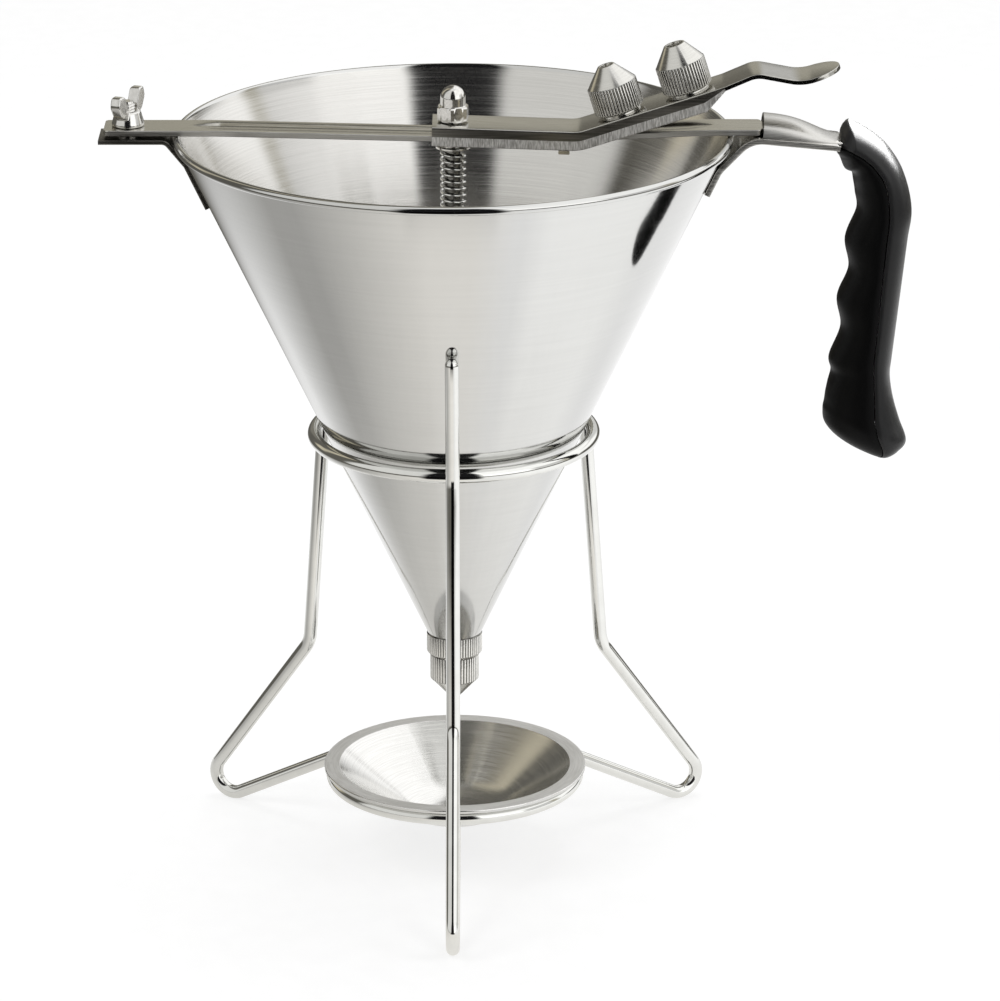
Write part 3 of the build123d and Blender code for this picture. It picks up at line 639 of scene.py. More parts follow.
# %% Rings of the stand
WIRE_RADIUS = 2.4
RIM_HEIGHT, RIM_RADIUS, RIM_BEAD = 260.5, 93.5, 1.5
FOOT_HEIGHT, FOOT_RADIUS = 82.0, 9.5
RING_HEIGHT, RING_GAP = 155.0, 1.4
BOWL_RING_HEIGHT, BOWL_RING_RADIUS = 28.6, 42.9
CONE_LEAN = (RIM_RADIUS - FOOT_RADIUS) / (RIM_HEIGHT - FOOT_HEIGHT)
CONE_TILT = atan(CONE_LEAN)


def cone_radius(height):
    """Outside radius of the cone"""
    return FOOT_RADIUS + (height - FOOT_HEIGHT) * CONE_LEAN


RING_RADIUS = cone_radius(RING_HEIGHT) + (WIRE_RADIUS + RING_GAP) / cos(CONE_TILT)
for name, radius, height in (
    ("stand_ring", RING_RADIUS, RING_HEIGHT),
    ("bowl_ring", BOWL_RING_RADIUS, BOWL_RING_HEIGHT),
):
    hoop = lathe(circle((radius, height), WIRE_RADIUS, 28))
    piece(name + "_wire", hoop, WIRE, "stand", name)

# %% Legs
PRONG_HEIGHT, PRONG_GAP = 200.5, 0.3
KNEE = Vector((59.7, 66.8))
LEG_REACH = 102.7
LEG_BEND, FOOT_BEND, FOOT_STEPS = 12.0, 7.0, 24
WELD_SINK = 0.5


def touch(start, centre, side):
    """Where a line from a point touches the round of the foot"""
    outward = start - centre
    swing = acos(FOOT_BEND / outward.length) * side
    return centre + Matrix.Rotation(swing, 2) @ outward.normalized() * FOOT_BEND


def leg_line():
    """Middle line of a leg in its own plane, as distance from the axis and height"""
    tip = Vector((cone_radius(PRONG_HEIGHT) + (WIRE_RADIUS + PRONG_GAP) / cos(CONE_TILT), PRONG_HEIGHT))
    bend = Vector((RING_RADIUS + 2 * WIRE_RADIUS - WELD_SINK, RING_HEIGHT))
    foot = Vector((LEG_REACH - WIRE_RADIUS - FOOT_BEND, WIRE_RADIUS + FOOT_BEND))
    bowl = Vector((BOWL_RING_RADIUS, BOWL_RING_HEIGHT))
    heel, sole = touch(KNEE, foot, -1), touch(bowl, foot, 1)
    line = rounded([tip, bend, KNEE, heel], LEG_BEND)
    swing = (heel - foot).angle_signed(sole - foot) % (2 * pi)
    for part in range(1, FOOT_STEPS + 1):
        line.append(foot + Matrix.Rotation(-swing * part / FOOT_STEPS, 2) @ (heel - foot))
    line.append(bowl + (sole - bowl).normalized() * (WIRE_RADIUS - WELD_SINK))
    return line


for name, azimuth in (("front", -90), ("right", 30), ("left", 150)):
    turned = Matrix.Rotation(radians(azimuth), 3, "Z")
    path = [turned @ Vector((point.x, 0, point.y)) for point in finer(leg_line(), 6.0)]
    wire = draw_wire(path, WIRE_RADIUS, dome=True)
    piece("leg_wire_" + name, wire, WIRE, "stand", "leg_" + name)

# %% [markdown]
# ## Drip bowl
# A small dished bowl, spun from sheet, with a flat satin flange that rests on the lower ring.
# Its outline is drawn once, inside and outside, with a soft lip, and turned on the lathe.

# %% Bowl
BOWL_RADIUS, BOWL_TOP = 46.0, 32.5
BOWL_MOUTH, BOWL_SHEET, BOWL_DEPTH = 40.6, 1.2, 19.0
BOWL_SLOPE = radians(36.0)
BOWL_BASE_BEND, BOWL_LIP = 25.0, 0.35


def bowl_outline():
    """Closed outline of the bowl: inside from the middle up, over the flange, and back under"""
    base, under = BOWL_TOP - BOWL_DEPTH, BOWL_TOP - BOWL_SHEET
    corner = BOWL_MOUTH - BOWL_DEPTH / tan(BOWL_SLOPE)
    run = BOWL_SHEET * tan(BOWL_SLOPE / 2)
    corners = [
        (0, base), (corner, base), (BOWL_MOUTH, BOWL_TOP), (BOWL_RADIUS, BOWL_TOP), (BOWL_RADIUS, under),
        (BOWL_MOUTH + run, under), (corner + run, base - BOWL_SHEET), (0, base - BOWL_SHEET),
    ]
    return rounded(corners, [BOWL_BASE_BEND, 0.5, BOWL_LIP, BOWL_LIP, 1.2, BOWL_BASE_BEND + BOWL_SHEET], 4.0)


bowl = piece("spun_bowl", lathe(bowl_outline(), 224), MIRROR, "bowl", "drip_bowl")
# Painted light: the inside of the bowl gets the lighter brushed steel
finish_faces(bowl, LIT_BOWL_BRUSHED, lambda face, spot: face.normal.z > 0.2)
finish_faces(bowl, SATIN, lambda face, spot: face.normal.z > 0.9 and spot.z > BOWL_TOP - 0.1)

# %% [markdown]
# ## Funnel cone
# The cone is spun from one sheet and its edge is rolled over a wire. Outside it is buffed like a
# mirror, inside it keeps the scratches of the polishing wheel, so the one mesh has two finishes.

# %% Cone
WALL = 1.0
WALL_RUN = WALL / cos(CONE_TILT)


def cone_outline():
    """Closed outline: up the outside, round the rolled edge, down the inside"""
    heights = [FOOT_HEIGHT + 2.0 * i for i in range(89)]
    outside = [(cone_radius(height), height) for height in heights]
    roll = circle((RIM_RADIUS, RIM_HEIGHT), RIM_BEAD, 36, 244.8, 225.2)
    lip = [(RIM_RADIUS - 0.75, RIM_HEIGHT + 1.1), (RIM_RADIUS - 0.92, RIM_HEIGHT + 0.4)]
    inside = [(radius - WALL_RUN, height) for radius, height in reversed(outside)]
    return outside + roll + lip + inside


def inside_cone(face, spot):
    """Faces that look up and inward, below the rolled edge"""
    inward = face.normal.xy.dot(spot.xy) < 0
    return inward and face.normal.z > 0.3 and spot.z < RIM_HEIGHT + 1.0


cone = piece("spun_cone", lathe(cone_outline(), 256), MIRROR, "funnel", "cone_body")
finish_faces(cone, CONE_BRUSHED, inside_cone)

# %% [markdown]
# ## Outlet collar and nozzles
# These are turned parts with a straight knurl for the fingers. The knurl is a triangle wave on the
# radius of the lathe, so that each tooth is real and catches the light.

# %% Knurled parts
KNURL, CREST_SHARE = 0.42, 0.4
NOZZLE_RADIUS, NOZZLE_GRIP, NOZZLE_TAPER = 8.55, 9.4, 6.4
NOZZLE_SOCKET, SOCKET_RADIUS = 7.2, 6.08
CHAMFER = 0.5


def knurl(teeth, band_radius, low, high):
    """Radius change that cuts teeth into a band"""
    def shape(angle, radius, height):
        if radius < band_radius - 0.01 or not low < height < high:
            return radius
        wave = abs((angle * teeth / (2 * pi)) % 1.0 - 0.5) * 2
        return radius - KNURL * max(0.0, wave - CREST_SHARE) / (1 - CREST_SHARE)
    return shape


def nozzle(tip_radius, bore_radius):
    """Screw-on nozzle on its open end: knurled band, smooth neck and a drilled cone"""
    top = NOZZLE_GRIP + NOZZLE_TAPER
    corners = [
        (SOCKET_RADIUS, 0), (NOZZLE_RADIUS - CHAMFER, 0), (NOZZLE_RADIUS, CHAMFER),
        (NOZZLE_RADIUS, NOZZLE_GRIP - 0.2), (NOZZLE_RADIUS - 0.3, NOZZLE_GRIP + 0.1), (tip_radius, top),
        (bore_radius, top), (bore_radius, NOZZLE_GRIP + NOZZLE_TAPER / 2), (SOCKET_RADIUS, NOZZLE_SOCKET),
        (SOCKET_RADIUS, 0.2),
    ]
    outline = rounded(corners, [0.1, 0.1, 0.1, 0.2, 0.12, 0.12, 0.3, 0.3], 30.0)
    return lathe(outline, 384, knurl(48, NOZZLE_RADIUS - 0.02, 0.1, NOZZLE_GRIP - 0.1))


def finish_knurl(made, low, high, radius):
    """Painted highlight on the crests and painted shade in the grooves of a knurled band"""
    def depth(spot):
        return radius - spot.xy.length if low < spot.z < high else -1.0
    finish_faces(made, CREST_HIGHLIGHT, lambda face, spot: -0.05 < depth(spot) < KNURL + 0.1)
    finish_faces(made, GROOVE_SHADE, lambda face, spot: 0.12 < depth(spot) < KNURL + 0.1)


# %% [markdown]
# ## Outlet
# The collar closes the foot of the cone. It has the valve seat inside and a spigot below, onto which
# the fitted nozzle screws. The faces in the narrow joints are painted dark, as painted shade, so that
# the joints read.

# %% Collar and fitted nozzle
COLLAR_BOTTOM, COLLAR_RADIUS = 74.5, 9.7
SEAT_RADIUS, SEAT_DEPTH, BORE_RADIUS = FOOT_RADIUS - WALL_RUN, 5.0, 4.0
SPIGOT_RADIUS, SPIGOT_LENGTH = 6.0, 6.5
SPIGOT_END = COLLAR_BOTTOM - SPIGOT_LENGTH
NOZZLE_GAP = 0.4
collar_corners = [
    (SEAT_RADIUS, FOOT_HEIGHT - 0.02), (COLLAR_RADIUS - CHAMFER, FOOT_HEIGHT - 0.02),
    (COLLAR_RADIUS, FOOT_HEIGHT - CHAMFER), (COLLAR_RADIUS, COLLAR_BOTTOM + CHAMFER),
    (COLLAR_RADIUS - CHAMFER, COLLAR_BOTTOM), (SPIGOT_RADIUS, COLLAR_BOTTOM), (SPIGOT_RADIUS, SPIGOT_END),
    (BORE_RADIUS, SPIGOT_END), (BORE_RADIUS, FOOT_HEIGHT - SEAT_DEPTH),
    (SEAT_RADIUS - 0.1, FOOT_HEIGHT - 0.2),
]
collar_outline = rounded(collar_corners, [0.1, 0.1, 0.1, 0.1, 0.2, 0.2, 0.2, 0.3], 30.0)
collar = lathe(collar_outline, 480, knurl(60, COLLAR_RADIUS - 0.02, COLLAR_BOTTOM, FOOT_HEIGHT))
collar = piece("turned_collar", collar, TURNED, "funnel", "outlet_collar")
finish_knurl(collar, COLLAR_BOTTOM + 0.3, FOOT_HEIGHT - 0.3, COLLAR_RADIUS)
# Painted shade on the collar's top face, in the joint under the foot of the cone
finish_faces(collar, SHADED_STEEL, lambda face, spot: face.normal.z > 0.3 and spot.z > FOOT_HEIGHT - CHAMFER)

hung = set_at(0, COLLAR_BOTTOM - NOZZLE_GAP, pi, "X")
fitted = piece(
    "small_nozzle", nozzle(2.3, 1.25), TURNED, "fitted_nozzle", "fitted_nozzle", place=hung)
finish_knurl(fitted, 0.3, NOZZLE_GRIP, NOZZLE_RADIUS)
# Painted shade on the nozzle's end face, in the joint under the collar
finish_faces(fitted, SHADED_STEEL, lambda face, spot: face.normal.z < -0.3 and spot.z < CHAMFER)

# %% [markdown]
# ## Cross bar
# A flat bar bridges the cone. It is slightly bent down in the middle, and a groove is pressed along
# it for stiffness. One section is swept along the bar: it narrows to the tongue on the right, and the
# groove grows narrower and shallower until it runs out.

# %% Cross bar
BAR_BOTTOM, BAR_THICKNESS, BAR_WIDTH = 262.2, 2.0, 14.8
BAR_LEFT, BAR_SHOULDER, TONGUE_END, TONGUE_WIDTH = -118.0, 104.4, 109.0, 10.0
BAR_DIP, BAR_RISE, BAR_BEND = 2.6, 0.3, 300.0
DIP_START, DIP_REACH, DIP_END = -80.0, 25.0, 85.0
GROOVE_END, GROOVE_RUN, GROOVE_HALF, GROOVE_DEPTH, GROOVE_WALL = 88.0, 9.0, 4.0, 0.8, 1.7
BAR_EDGE, BAR_CORNER, SHOULDER_RUN = 0.25, 1.2, 0.6


def bar_line(above):
    """Line along the bar, some way above its underside"""
    level = BAR_BOTTOM + above
    corners = [
        (BAR_LEFT, level), (DIP_START, level), (DIP_REACH, level - BAR_DIP),
        (DIP_END, level + BAR_RISE), (TONGUE_END, level + BAR_RISE),
    ]
    return finer(rounded(corners, BAR_BEND, 1.0), 0.75)


def bar_section(x):
    """Section of the bar with its pressed groove, which runs out round at both ends"""
    half, tongue = BAR_WIDTH / 2, TONGUE_WIDTH / 2
    if x > BAR_SHOULDER - SHOULDER_RUN:
        half = tongue + (half - tongue) * max(0.0, BAR_SHOULDER - x) / SHOULDER_RUN
    half -= BAR_CORNER * max(0.0, (BAR_LEFT + BAR_CORNER - x) / BAR_CORNER) ** 2
    into = min(1.0, max(0.0, abs(x) - (GROOVE_END - GROOVE_RUN)) / GROOVE_RUN)
    wide = max(0.05, GROOVE_HALF * sqrt(1 - into))
    deep = GROOVE_DEPTH * (1 - into) ** 0.7
    wall = min(GROOVE_WALL, wide * 0.9)
    top = BAR_THICKNESS / 2
    right = [
        (wide * 0.9, -top - deep), (wide, -top - deep * 0.8), (wide + 0.4, -top), (half - BAR_EDGE, -top),
        (half, -top + BAR_EDGE), (half, top - BAR_EDGE), (half - BAR_EDGE, top), (wide, top),
        (wide - wall * 0.15, top - deep * 0.08), (wide - wall * 0.85, top - deep * 0.92),
        (wide - wall, top - deep),
    ]
    return right + [(-across, up) for across, up in reversed(right)]


bar = bend_strip(bar_line(BAR_THICKNESS / 2), bar_section)
bar = piece("pressed_bar", bar, BAR_STEEL, "funnel", "cross_bar")
finish_faces(bar, CUT, lambda face, spot: abs(spot.y) > BAR_WIDTH / 2 - 0.2)

# %% [markdown]
# ## Clamp at the left end
# A bent bracket is welded to the cone. Its stud stands through the bar, and a wing nut clamps the
# bar down on it. The stud shows its thread between the wings, so the thread is cut for real: the
# lathe changes the radius along a helix.

# %% Bracket and stud
BRACKET_WIDTH, BRACKET_SHEET, BRACKET_BEND = 16.4, 1.5, 3.0
STUD_X = -110.0
STUD_RADIUS, STUD_COLLAR, STUD_COLLAR_HEIGHT, STUD_TOP = 2.5, 4.5, 1.2, 8.6
THREAD_PITCH, THREAD_DEPTH, THREAD_STEP, STUD_CHAMFER = 1.0, 0.5, 0.1, 0.6
BAR_TOP = BAR_BOTTOM + BAR_THICKNESS


def beside_cone(height, thickness, side=1):
    """Point in the middle of a sheet that lies on the cone, on its right (1) or its left (-1)"""
    return Vector((side * (cone_radius(height) + thickness / 2 / cos(CONE_TILT)), height))


tab_height = BAR_BOTTOM - STUD_COLLAR_HEIGHT - BRACKET_SHEET / 2
bracket_line = [
    (STUD_X - 9.8, tab_height), (STUD_X + 13.0, tab_height),
    beside_cone(RIM_HEIGHT - 8.5, BRACKET_SHEET, -1), beside_cone(RIM_HEIGHT - 23.5, BRACKET_SHEET, -1),
]
bracket_section = slab(BRACKET_WIDTH, BRACKET_SHEET, 0.3)
bracket = bend_strip(finer(rounded(bracket_line, BRACKET_BEND), 3.0), lambda x: bracket_section)
# Painted shade: the bracket under the bar is painted dark
piece("bent_bracket", bracket, SHADED_SHEET, "funnel", "bar_bracket")


def thread(angle, radius, height):
    """Screw thread on a stud, by the height of its helix"""
    if radius < STUD_RADIUS - 0.01:
        return radius
    turn_part = (height / THREAD_PITCH - angle / (2 * pi)) % 1.0
    return radius - THREAD_DEPTH * abs(2 * turn_part - 1)


stud_foot, stud_end = BAR_BOTTOM - STUD_COLLAR_HEIGHT, BAR_TOP + STUD_TOP
steps = int((stud_end - STUD_CHAMFER - BAR_BOTTOM) / THREAD_STEP)
stud_outline = [(0, stud_foot), (STUD_COLLAR, stud_foot), (STUD_COLLAR, BAR_BOTTOM)]
stud_outline += [(STUD_RADIUS, BAR_BOTTOM + THREAD_STEP * i) for i in range(steps)]
stud_outline += [(STUD_RADIUS - STUD_CHAMFER, stud_end), (0, stud_end)]
stud = lathe(stud_outline, 48, thread)
bmesh.ops.translate(stud, verts=stud.verts, vec=(STUD_X, 0, 0))
piece("threaded_stud", stud, TUMBLED_AND_SHEEN, "funnel", "clamp_stud", crease=50)

# %% [markdown]
# ## Wing nut
# The wing nut is cast in one, with soft edges and thick ears. Its hub and ears are drawn as separate
# solids, then melted together by a fine voxel remesh and smoothed, which gives the cast look.

# %% Wing nut
HUB_BORE, HUB_RADIUS, HUB_TOP_RADIUS, HUB_HEIGHT = 2.62, 5.5, 4.3, 5.2
WING_SPAN, WING_HEIGHT, WING_THICKNESS = 21.6, 11.6, 3.8
WING_TURN, NUT_GAP, CAST_GRAIN = radians(70.0), 0.1, 0.18


def wing(side):
    """Rings of one ear, thicker at its root than at its tip"""
    half = WING_SPAN / 2
    corners = [
        (2.9, 3.6), (2.9, 2.0), (8.0, 4.4), (half, WING_HEIGHT - 3.2), (half - 1.1, WING_HEIGHT),
        (half - 4.5, WING_HEIGHT), (3.4, 5.4), (2.9, 3.6),
    ]
    outline = rounded(corners, [0.1, 3.0, 2.6, 1.2, 1.2, 1.6], 12.0)[:-1]
    rings = []
    for share, inset in ((-1.0, 0.45), (-0.8, 0.0), (0.8, 0.0), (1.0, 0.45)):
        ring = []
        for x, z in outline:
            thick = WING_THICKNESS / 2 * (1.1 - 0.15 * x / half)
            ring.append((side * x * (1 - inset / half), share * thick, z - inset * (z - 5.0) / 6.0))
        rings.append(ring)
    return rings


def melt(mesh, voxel):
    """Closed meshes that run into each other as one, with the edges softened"""
    lump = as_object("lump", mesh, 1.0)
    change = lump.modifiers.new("melt", "REMESH")
    change.mode = "VOXEL"
    change.voxel_size = voxel
    soften = lump.modifiers.new("soften", "SMOOTH")
    soften.factor, soften.iterations = 0.5, 3
    bpy.context.view_layer.update()
    result = bmesh.new()
    result.from_object(lump, bpy.context.evaluated_depsgraph_get())
    bpy.data.objects.remove(lump)
    return result


hub_corners = [
    (HUB_BORE, 3.0), (HUB_BORE, 0), (HUB_RADIUS, 0), (HUB_RADIUS, 1.0), (HUB_TOP_RADIUS, HUB_HEIGHT),
    (HUB_BORE, HUB_HEIGHT), (HUB_BORE, 3.0),
]
nut = lathe(rounded(hub_corners, [0.1, 0.4, 0.3, 0.7, 0.4], 15.0)[:-1], 64)
for side in (1, -1):
    skin(wing(side), mesh=nut)
on_stud = set_at(STUD_X, BAR_TOP + NUT_GAP, WING_TURN, "Z")
nut = melt(nut, CAST_GRAIN)
piece("cast_wing_nut", nut, TUMBLED_AND_SHEEN, "wing_nut", "wing_nut", place=on_stud, crease=60)

# %% [markdown]
# ## Handle strap and hood
# The strap is welded to the cone, rises over the rim and runs down into the grip. A pressed hood on
# it takes the tongue of the bar, so the bar can be unhooked once the wing nut is loose. The strap is
# one section swept along its bent line. Its flat top is painted lighter, as a painted highlight, and
# its cut edges stay dull.

# %% Strap
STRAP_WIDTH, STRAP_THICKNESS, STRAP_FALL, STRAP_BEND = 20.0, 2.0, radians(5.4), 10.0
RIM_EDGE = RIM_RADIUS + RIM_BEAD
STRAP_BEND_X, STRAP_TOP_X = RIM_EDGE + 5.5, RIM_EDGE + 10.5
ELBOW = Vector((RIM_EDGE + 31.5, RIM_HEIGHT - 22.9))
TANG_LEAN, TANG_WIDTH, TANG_LENGTH = radians(4.5), 14.0, 40.0
MOUTH_ANGLE = 76.0


def strap_height(x):
    """Height of the middle of the straight part of the strap"""
    return BAR_BOTTOM - 0.2 - STRAP_THICKNESS / 2 - (x - STRAP_TOP_X) * tan(STRAP_FALL)


SEAM_RADIUS = (strap_height(ELBOW.x) - ELBOW.y) * cos(STRAP_FALL)
bisector = (pi / 2 - STRAP_FALL - TANG_LEAN) / 2
half_turn = (pi / 2 - STRAP_FALL + TANG_LEAN) / 2
elbow_corner = ELBOW + heading(bisector) * (SEAM_RADIUS / cos(half_turn))
strap_corners = [
    beside_cone(RIM_HEIGHT - 18.4, STRAP_THICKNESS), beside_cone(RIM_HEIGHT - 10.0, STRAP_THICKNESS),
    (STRAP_BEND_X, strap_height(STRAP_BEND_X)), elbow_corner,
    elbow_corner - heading(pi / 2 - TANG_LEAN) * TANG_LENGTH,
]
strap_line = rounded(strap_corners, [STRAP_BEND, STRAP_BEND, SEAM_RADIUS], 3.0)
tang_start = ELBOW.x + SEAM_RADIUS * cos(radians(MOUTH_ANGLE)) - 0.7


def strap_section(x):
    """Full strap outside the grip, narrower tang inside it"""
    return slab(STRAP_WIDTH if x < tang_start else TANG_WIDTH, STRAP_THICKNESS, 0.35)


strap = bend_strip(finer(strap_line, 2.0), strap_section)
strap = piece("bent_strap", strap, STRAP_STEEL, "funnel", "handle_strap")
finish_faces(strap, CUT, on_the_side)
# Painted highlight: the strap's flat top gets the lighter tumbled finish
finish_faces(strap, TUMBLED_AND_SHEEN, lambda face, spot: face.normal.z > 0.9)

# %% Hood
HOOD_MOUTH, HOOD_LENGTH, HOOD_SHEET, HOOD_STEPS = RIM_EDGE + 9.5, 27.0, 1.3, 36
HOOD_WIDTH, HOOD_END_HEIGHT, HOOD_SWELL = 9.5, 0.75, 5.45


def hood_ring(distance):
    """Half-oval shell across the strap, some way behind the mouth"""
    share = distance / HOOD_LENGTH
    width = HOOD_WIDTH - 0.6 * share - 1.9 * share * share
    height = HOOD_END_HEIGHT + HOOD_SWELL * (0.5 + 0.5 * cos(pi * share ** 1.5))
    sheet = min(HOOD_SHEET, height * 0.6)
    along = heading(-STRAP_FALL)
    above = left_of(along)
    base = Vector((HOOD_MOUTH, strap_height(HOOD_MOUTH))) + above * (STRAP_THICKNESS / 2 + 0.02)
    turns = [pi * i / 24 for i in range(25)]
    outer = [(width * cos(a), height * sin(a) ** 0.85) for a in turns]
    inner = [((width - sheet) * cos(a), (height - sheet) * sin(a) ** 0.85) for a in reversed(turns)]
    spots = [(across, base + along * distance + above * up) for across, up in outer + inner]
    return [(spot.x, across, spot.y) for across, spot in spots]


hood = skin([hood_ring(HOOD_LENGTH * i / HOOD_STEPS) for i in range(HOOD_STEPS + 1)])
# Painted light: the hood's sheet is painted lighter than the strap's
piece("pressed_hood", hood, LIT_HOOD_STEEL, "funnel", "socket_hood")

# %% [markdown]
# ## Grip
# Two moulded shells close on the tang: a deeper one with four finger grooves, and a plain spine.
# Their sections are half ovals on both sides of the seam. A few sections carry the shape, and a
# smooth curve through them fills in the rest, which keeps the grooves soft. The mouth is rounded
# off and cut back a little at its sides.

# %% Grip
FINGER_PITCH, FINGER_RISE, FINGER_DEPTH, FINGERS = 21.0, 3.0, 1.3, 4
GRIP_HALF, SHELL_GAP = 12.3, 0.4
POMMEL, POMMEL_LEAN, POMMEL_LENGTH = Vector((141.75, 158.75)), -21.1, 30.8
POMMEL_DEPTH, POMMEL_SHIFT = 9.2, 5.0
ELBOW_SECTIONS = (
    (MOUTH_ANGLE, 17.5, 29.3), (64.0, 14.0, 28.6), (53.0, 14.2, 28.4), (42.0, 12.6, 28.3), (22.0, 10.9, 28.2),
)
HEEL_SECTIONS = (
    (143.8, 177.5, -2.0, 14.1, 5.9), (144.0, 172.2, -5.5, 15.3, 6.3), (144.2, 167.0, -10.0, 16.4, 7.5),
    (144.5, 162.0, -16.0, 17.5, 9.4),
)
POMMEL_TURNS = (4, 28, 48, 65, 78, 87)


def grip_stations():
    """Sections: seam point, angle of the way across, finger side and spine side from the seam, half width"""
    rows = []
    for angle, inside, outside in ELBOW_SECTIONS:
        point = ELBOW + heading(radians(angle)) * SEAM_RADIUS
        rows.append((*point, angle, SEAM_RADIUS - inside, outside - SEAM_RADIUS, GRIP_HALF))
    for half in range(2 * FINGERS - 2):
        down = FINGER_PITCH * (half + 0.5) / 2 - FINGER_RISE
        seam = (SEAM_RADIUS - down * sin(TANG_LEAN)) / cos(TANG_LEAN)
        groove = FINGER_DEPTH if half % 2 == 0 else -FINGER_DEPTH
        inside = 10.5 + groove - FINGER_DEPTH / 2 - 0.11 * down
        outside = 29.5 - 0.105 * down
        rows.append((ELBOW.x + seam, ELBOW.y - down, 0.0, seam - inside, outside - seam, GRIP_HALF))
    rows += [(*section, GRIP_HALF) for section in HEEL_SECTIONS]
    across = heading(radians(POMMEL_LEAN))
    for turn in POMMEL_TURNS:
        narrow, low = cos(radians(turn)) ** 0.8, sin(radians(turn))
        seam = 0.617 + 0.285 * low
        wide = POMMEL_LENGTH * narrow
        shift = wide * (seam - 0.5) + POMMEL_SHIFT * (1 - narrow)
        point = POMMEL + across * shift - left_of(across) * POMMEL_DEPTH * low
        rows.append((*point, POMMEL_LEAN, wide * seam, wide * (1 - seam), GRIP_HALF * narrow ** 0.8))
    return rows


def between(rows, steps):
    """Smooth curve through rows of numbers"""
    fine = []
    last = len(rows) - 1
    for i in range(last):
        a, b, c, d = rows[max(i - 1, 0)], rows[i], rows[i + 1], rows[min(i + 2, last)]
        for step in range(steps):
            t = step / steps
            fine.append([
                q + 0.5 * t * (r - p + t * (2 * p - 5 * q + 4 * r - s + t * (3 * (q - r) + s - p)))
                for p, q, r, s in zip(a, b, c, d)
            ])
    return fine + [list(rows[last])]


# %% Grip shells
MOUTH_ROUND = ((0.5, -1.6), (0.72, -1.3), (0.9, -0.6), (0.985, 0.1))
MOUTH_CUT, MOUTH_REACH = 3.5, 36.0
SEAM_DIP, SEAM_DIP_RUN = 0.035, 0.7


def shell_ring(station, side, scale, drop):
    """Half oval on one side of the seam, scaled and dropped where the mouth is rounded"""
    x, z, angle, finger, spine, half_width = station
    away = heading(radians(angle))
    reach = finger if side < 0 else spine
    toward_mouth = max(0.0, (angle - (MOUTH_ANGLE - MOUTH_REACH)) / MOUTH_REACH)
    ring = []
    for i in range(37):
        turn = pi * i / 36
        out = reach * scale * sin(turn) ** 0.92
        across = half_width * scale * cos(turn) * (1 - SEAM_DIP * exp(-(out / SEAM_DIP_RUN) ** 2))
        cut_back = MOUTH_CUT * (across / GRIP_HALF) ** 2 * toward_mouth
        spot = Vector((x, z)) + away * side * (SHELL_GAP / 2 + out) - left_of(away) * (drop + cut_back)
        ring.append((spot.x, across, spot.y))
    return ring


def grip_shell(side):
    """Finger shell (-1) or spine shell (1) from its mouth to the pommel"""
    rows = between(grip_stations(), 8)
    rings = [shell_ring(rows[0], side, scale, drop) for scale, drop in MOUTH_ROUND]
    return skin(rings + [shell_ring(row, side, 1.0, 0.0) for row in rows[1:]])


piece("finger_shell", grip_shell(-1), FINGER_BLACK, "funnel", "grip_finger_shell", crease=50)
spine = piece(
    "spine_shell", grip_shell(1), SPINE_BLACK, "funnel", "grip_spine_shell", crease=50)
lit_by_shine = bpy.data.collections.new("lit_by_shine")
lit_by_shine.objects.link(spine)
grip_shine.light_linking.receiver_collection = lit_by_shine

# %% [markdown]
# ## Lever
# The lever is a pressed channel that straddles the bar. It rocks on its bend, lifts the plunger with
# its slotted front end, and flattens into a wavy paddle for the thumb. One swept section does it all:
# along the way its flanges taper off and its width rounds into the tip.

# %% Lever
LEVER_WIDTH, LEVER_SHEET, LEVER_DEPTH = 18.6, 1.5, 6.6
FULCRUM_X, LEVER_FRONT, LEVER_GAP = 42.0, 7.0, 0.3
LEVER_TILT, LEVER_SLOPE, RAMP_LENGTH, FLANGE_TAPER = radians(2.0), radians(17.7), 52.0, 8.0
PADDLE_STEPS = ((10.6, 4.6), (26.0, 1.7), (39.0, 5.8))
LEVER_BENDS = [12.0, 9.0, 9.0, 16.0]
dip_climb = (BAR_DIP + BAR_RISE) / (DIP_END - DIP_REACH)
LEVER_BOTTOM = BAR_TOP - BAR_DIP + dip_climb * (FULCRUM_X - DIP_REACH) + LEVER_GAP
LEVER_MIDDLE = LEVER_BOTTOM + LEVER_SHEET / 2


def ramp_point(distance, height=0.0):
    """Point on the ramp: distance from the bend, height over the middle of the sheet"""
    along = heading(LEVER_SLOPE)
    return Vector((FULCRUM_X, LEVER_MIDDLE)) + along * distance + left_of(along) * height


ramp_end = ramp_point(RAMP_LENGTH)
paddle = [ramp_end + Vector(step) for step in PADDLE_STEPS]
front = (-LEVER_FRONT, LEVER_MIDDLE + (FULCRUM_X + LEVER_FRONT) * tan(LEVER_TILT))
lever_line = rounded([front, (FULCRUM_X, LEVER_MIDDLE), ramp_end, *paddle], LEVER_BENDS, 3.0)
taper_start, taper_end = ramp_point(RAMP_LENGTH - FLANGE_TAPER).x, ramp_end.x
tip_centre = paddle[-1].x - LEVER_WIDTH / 2


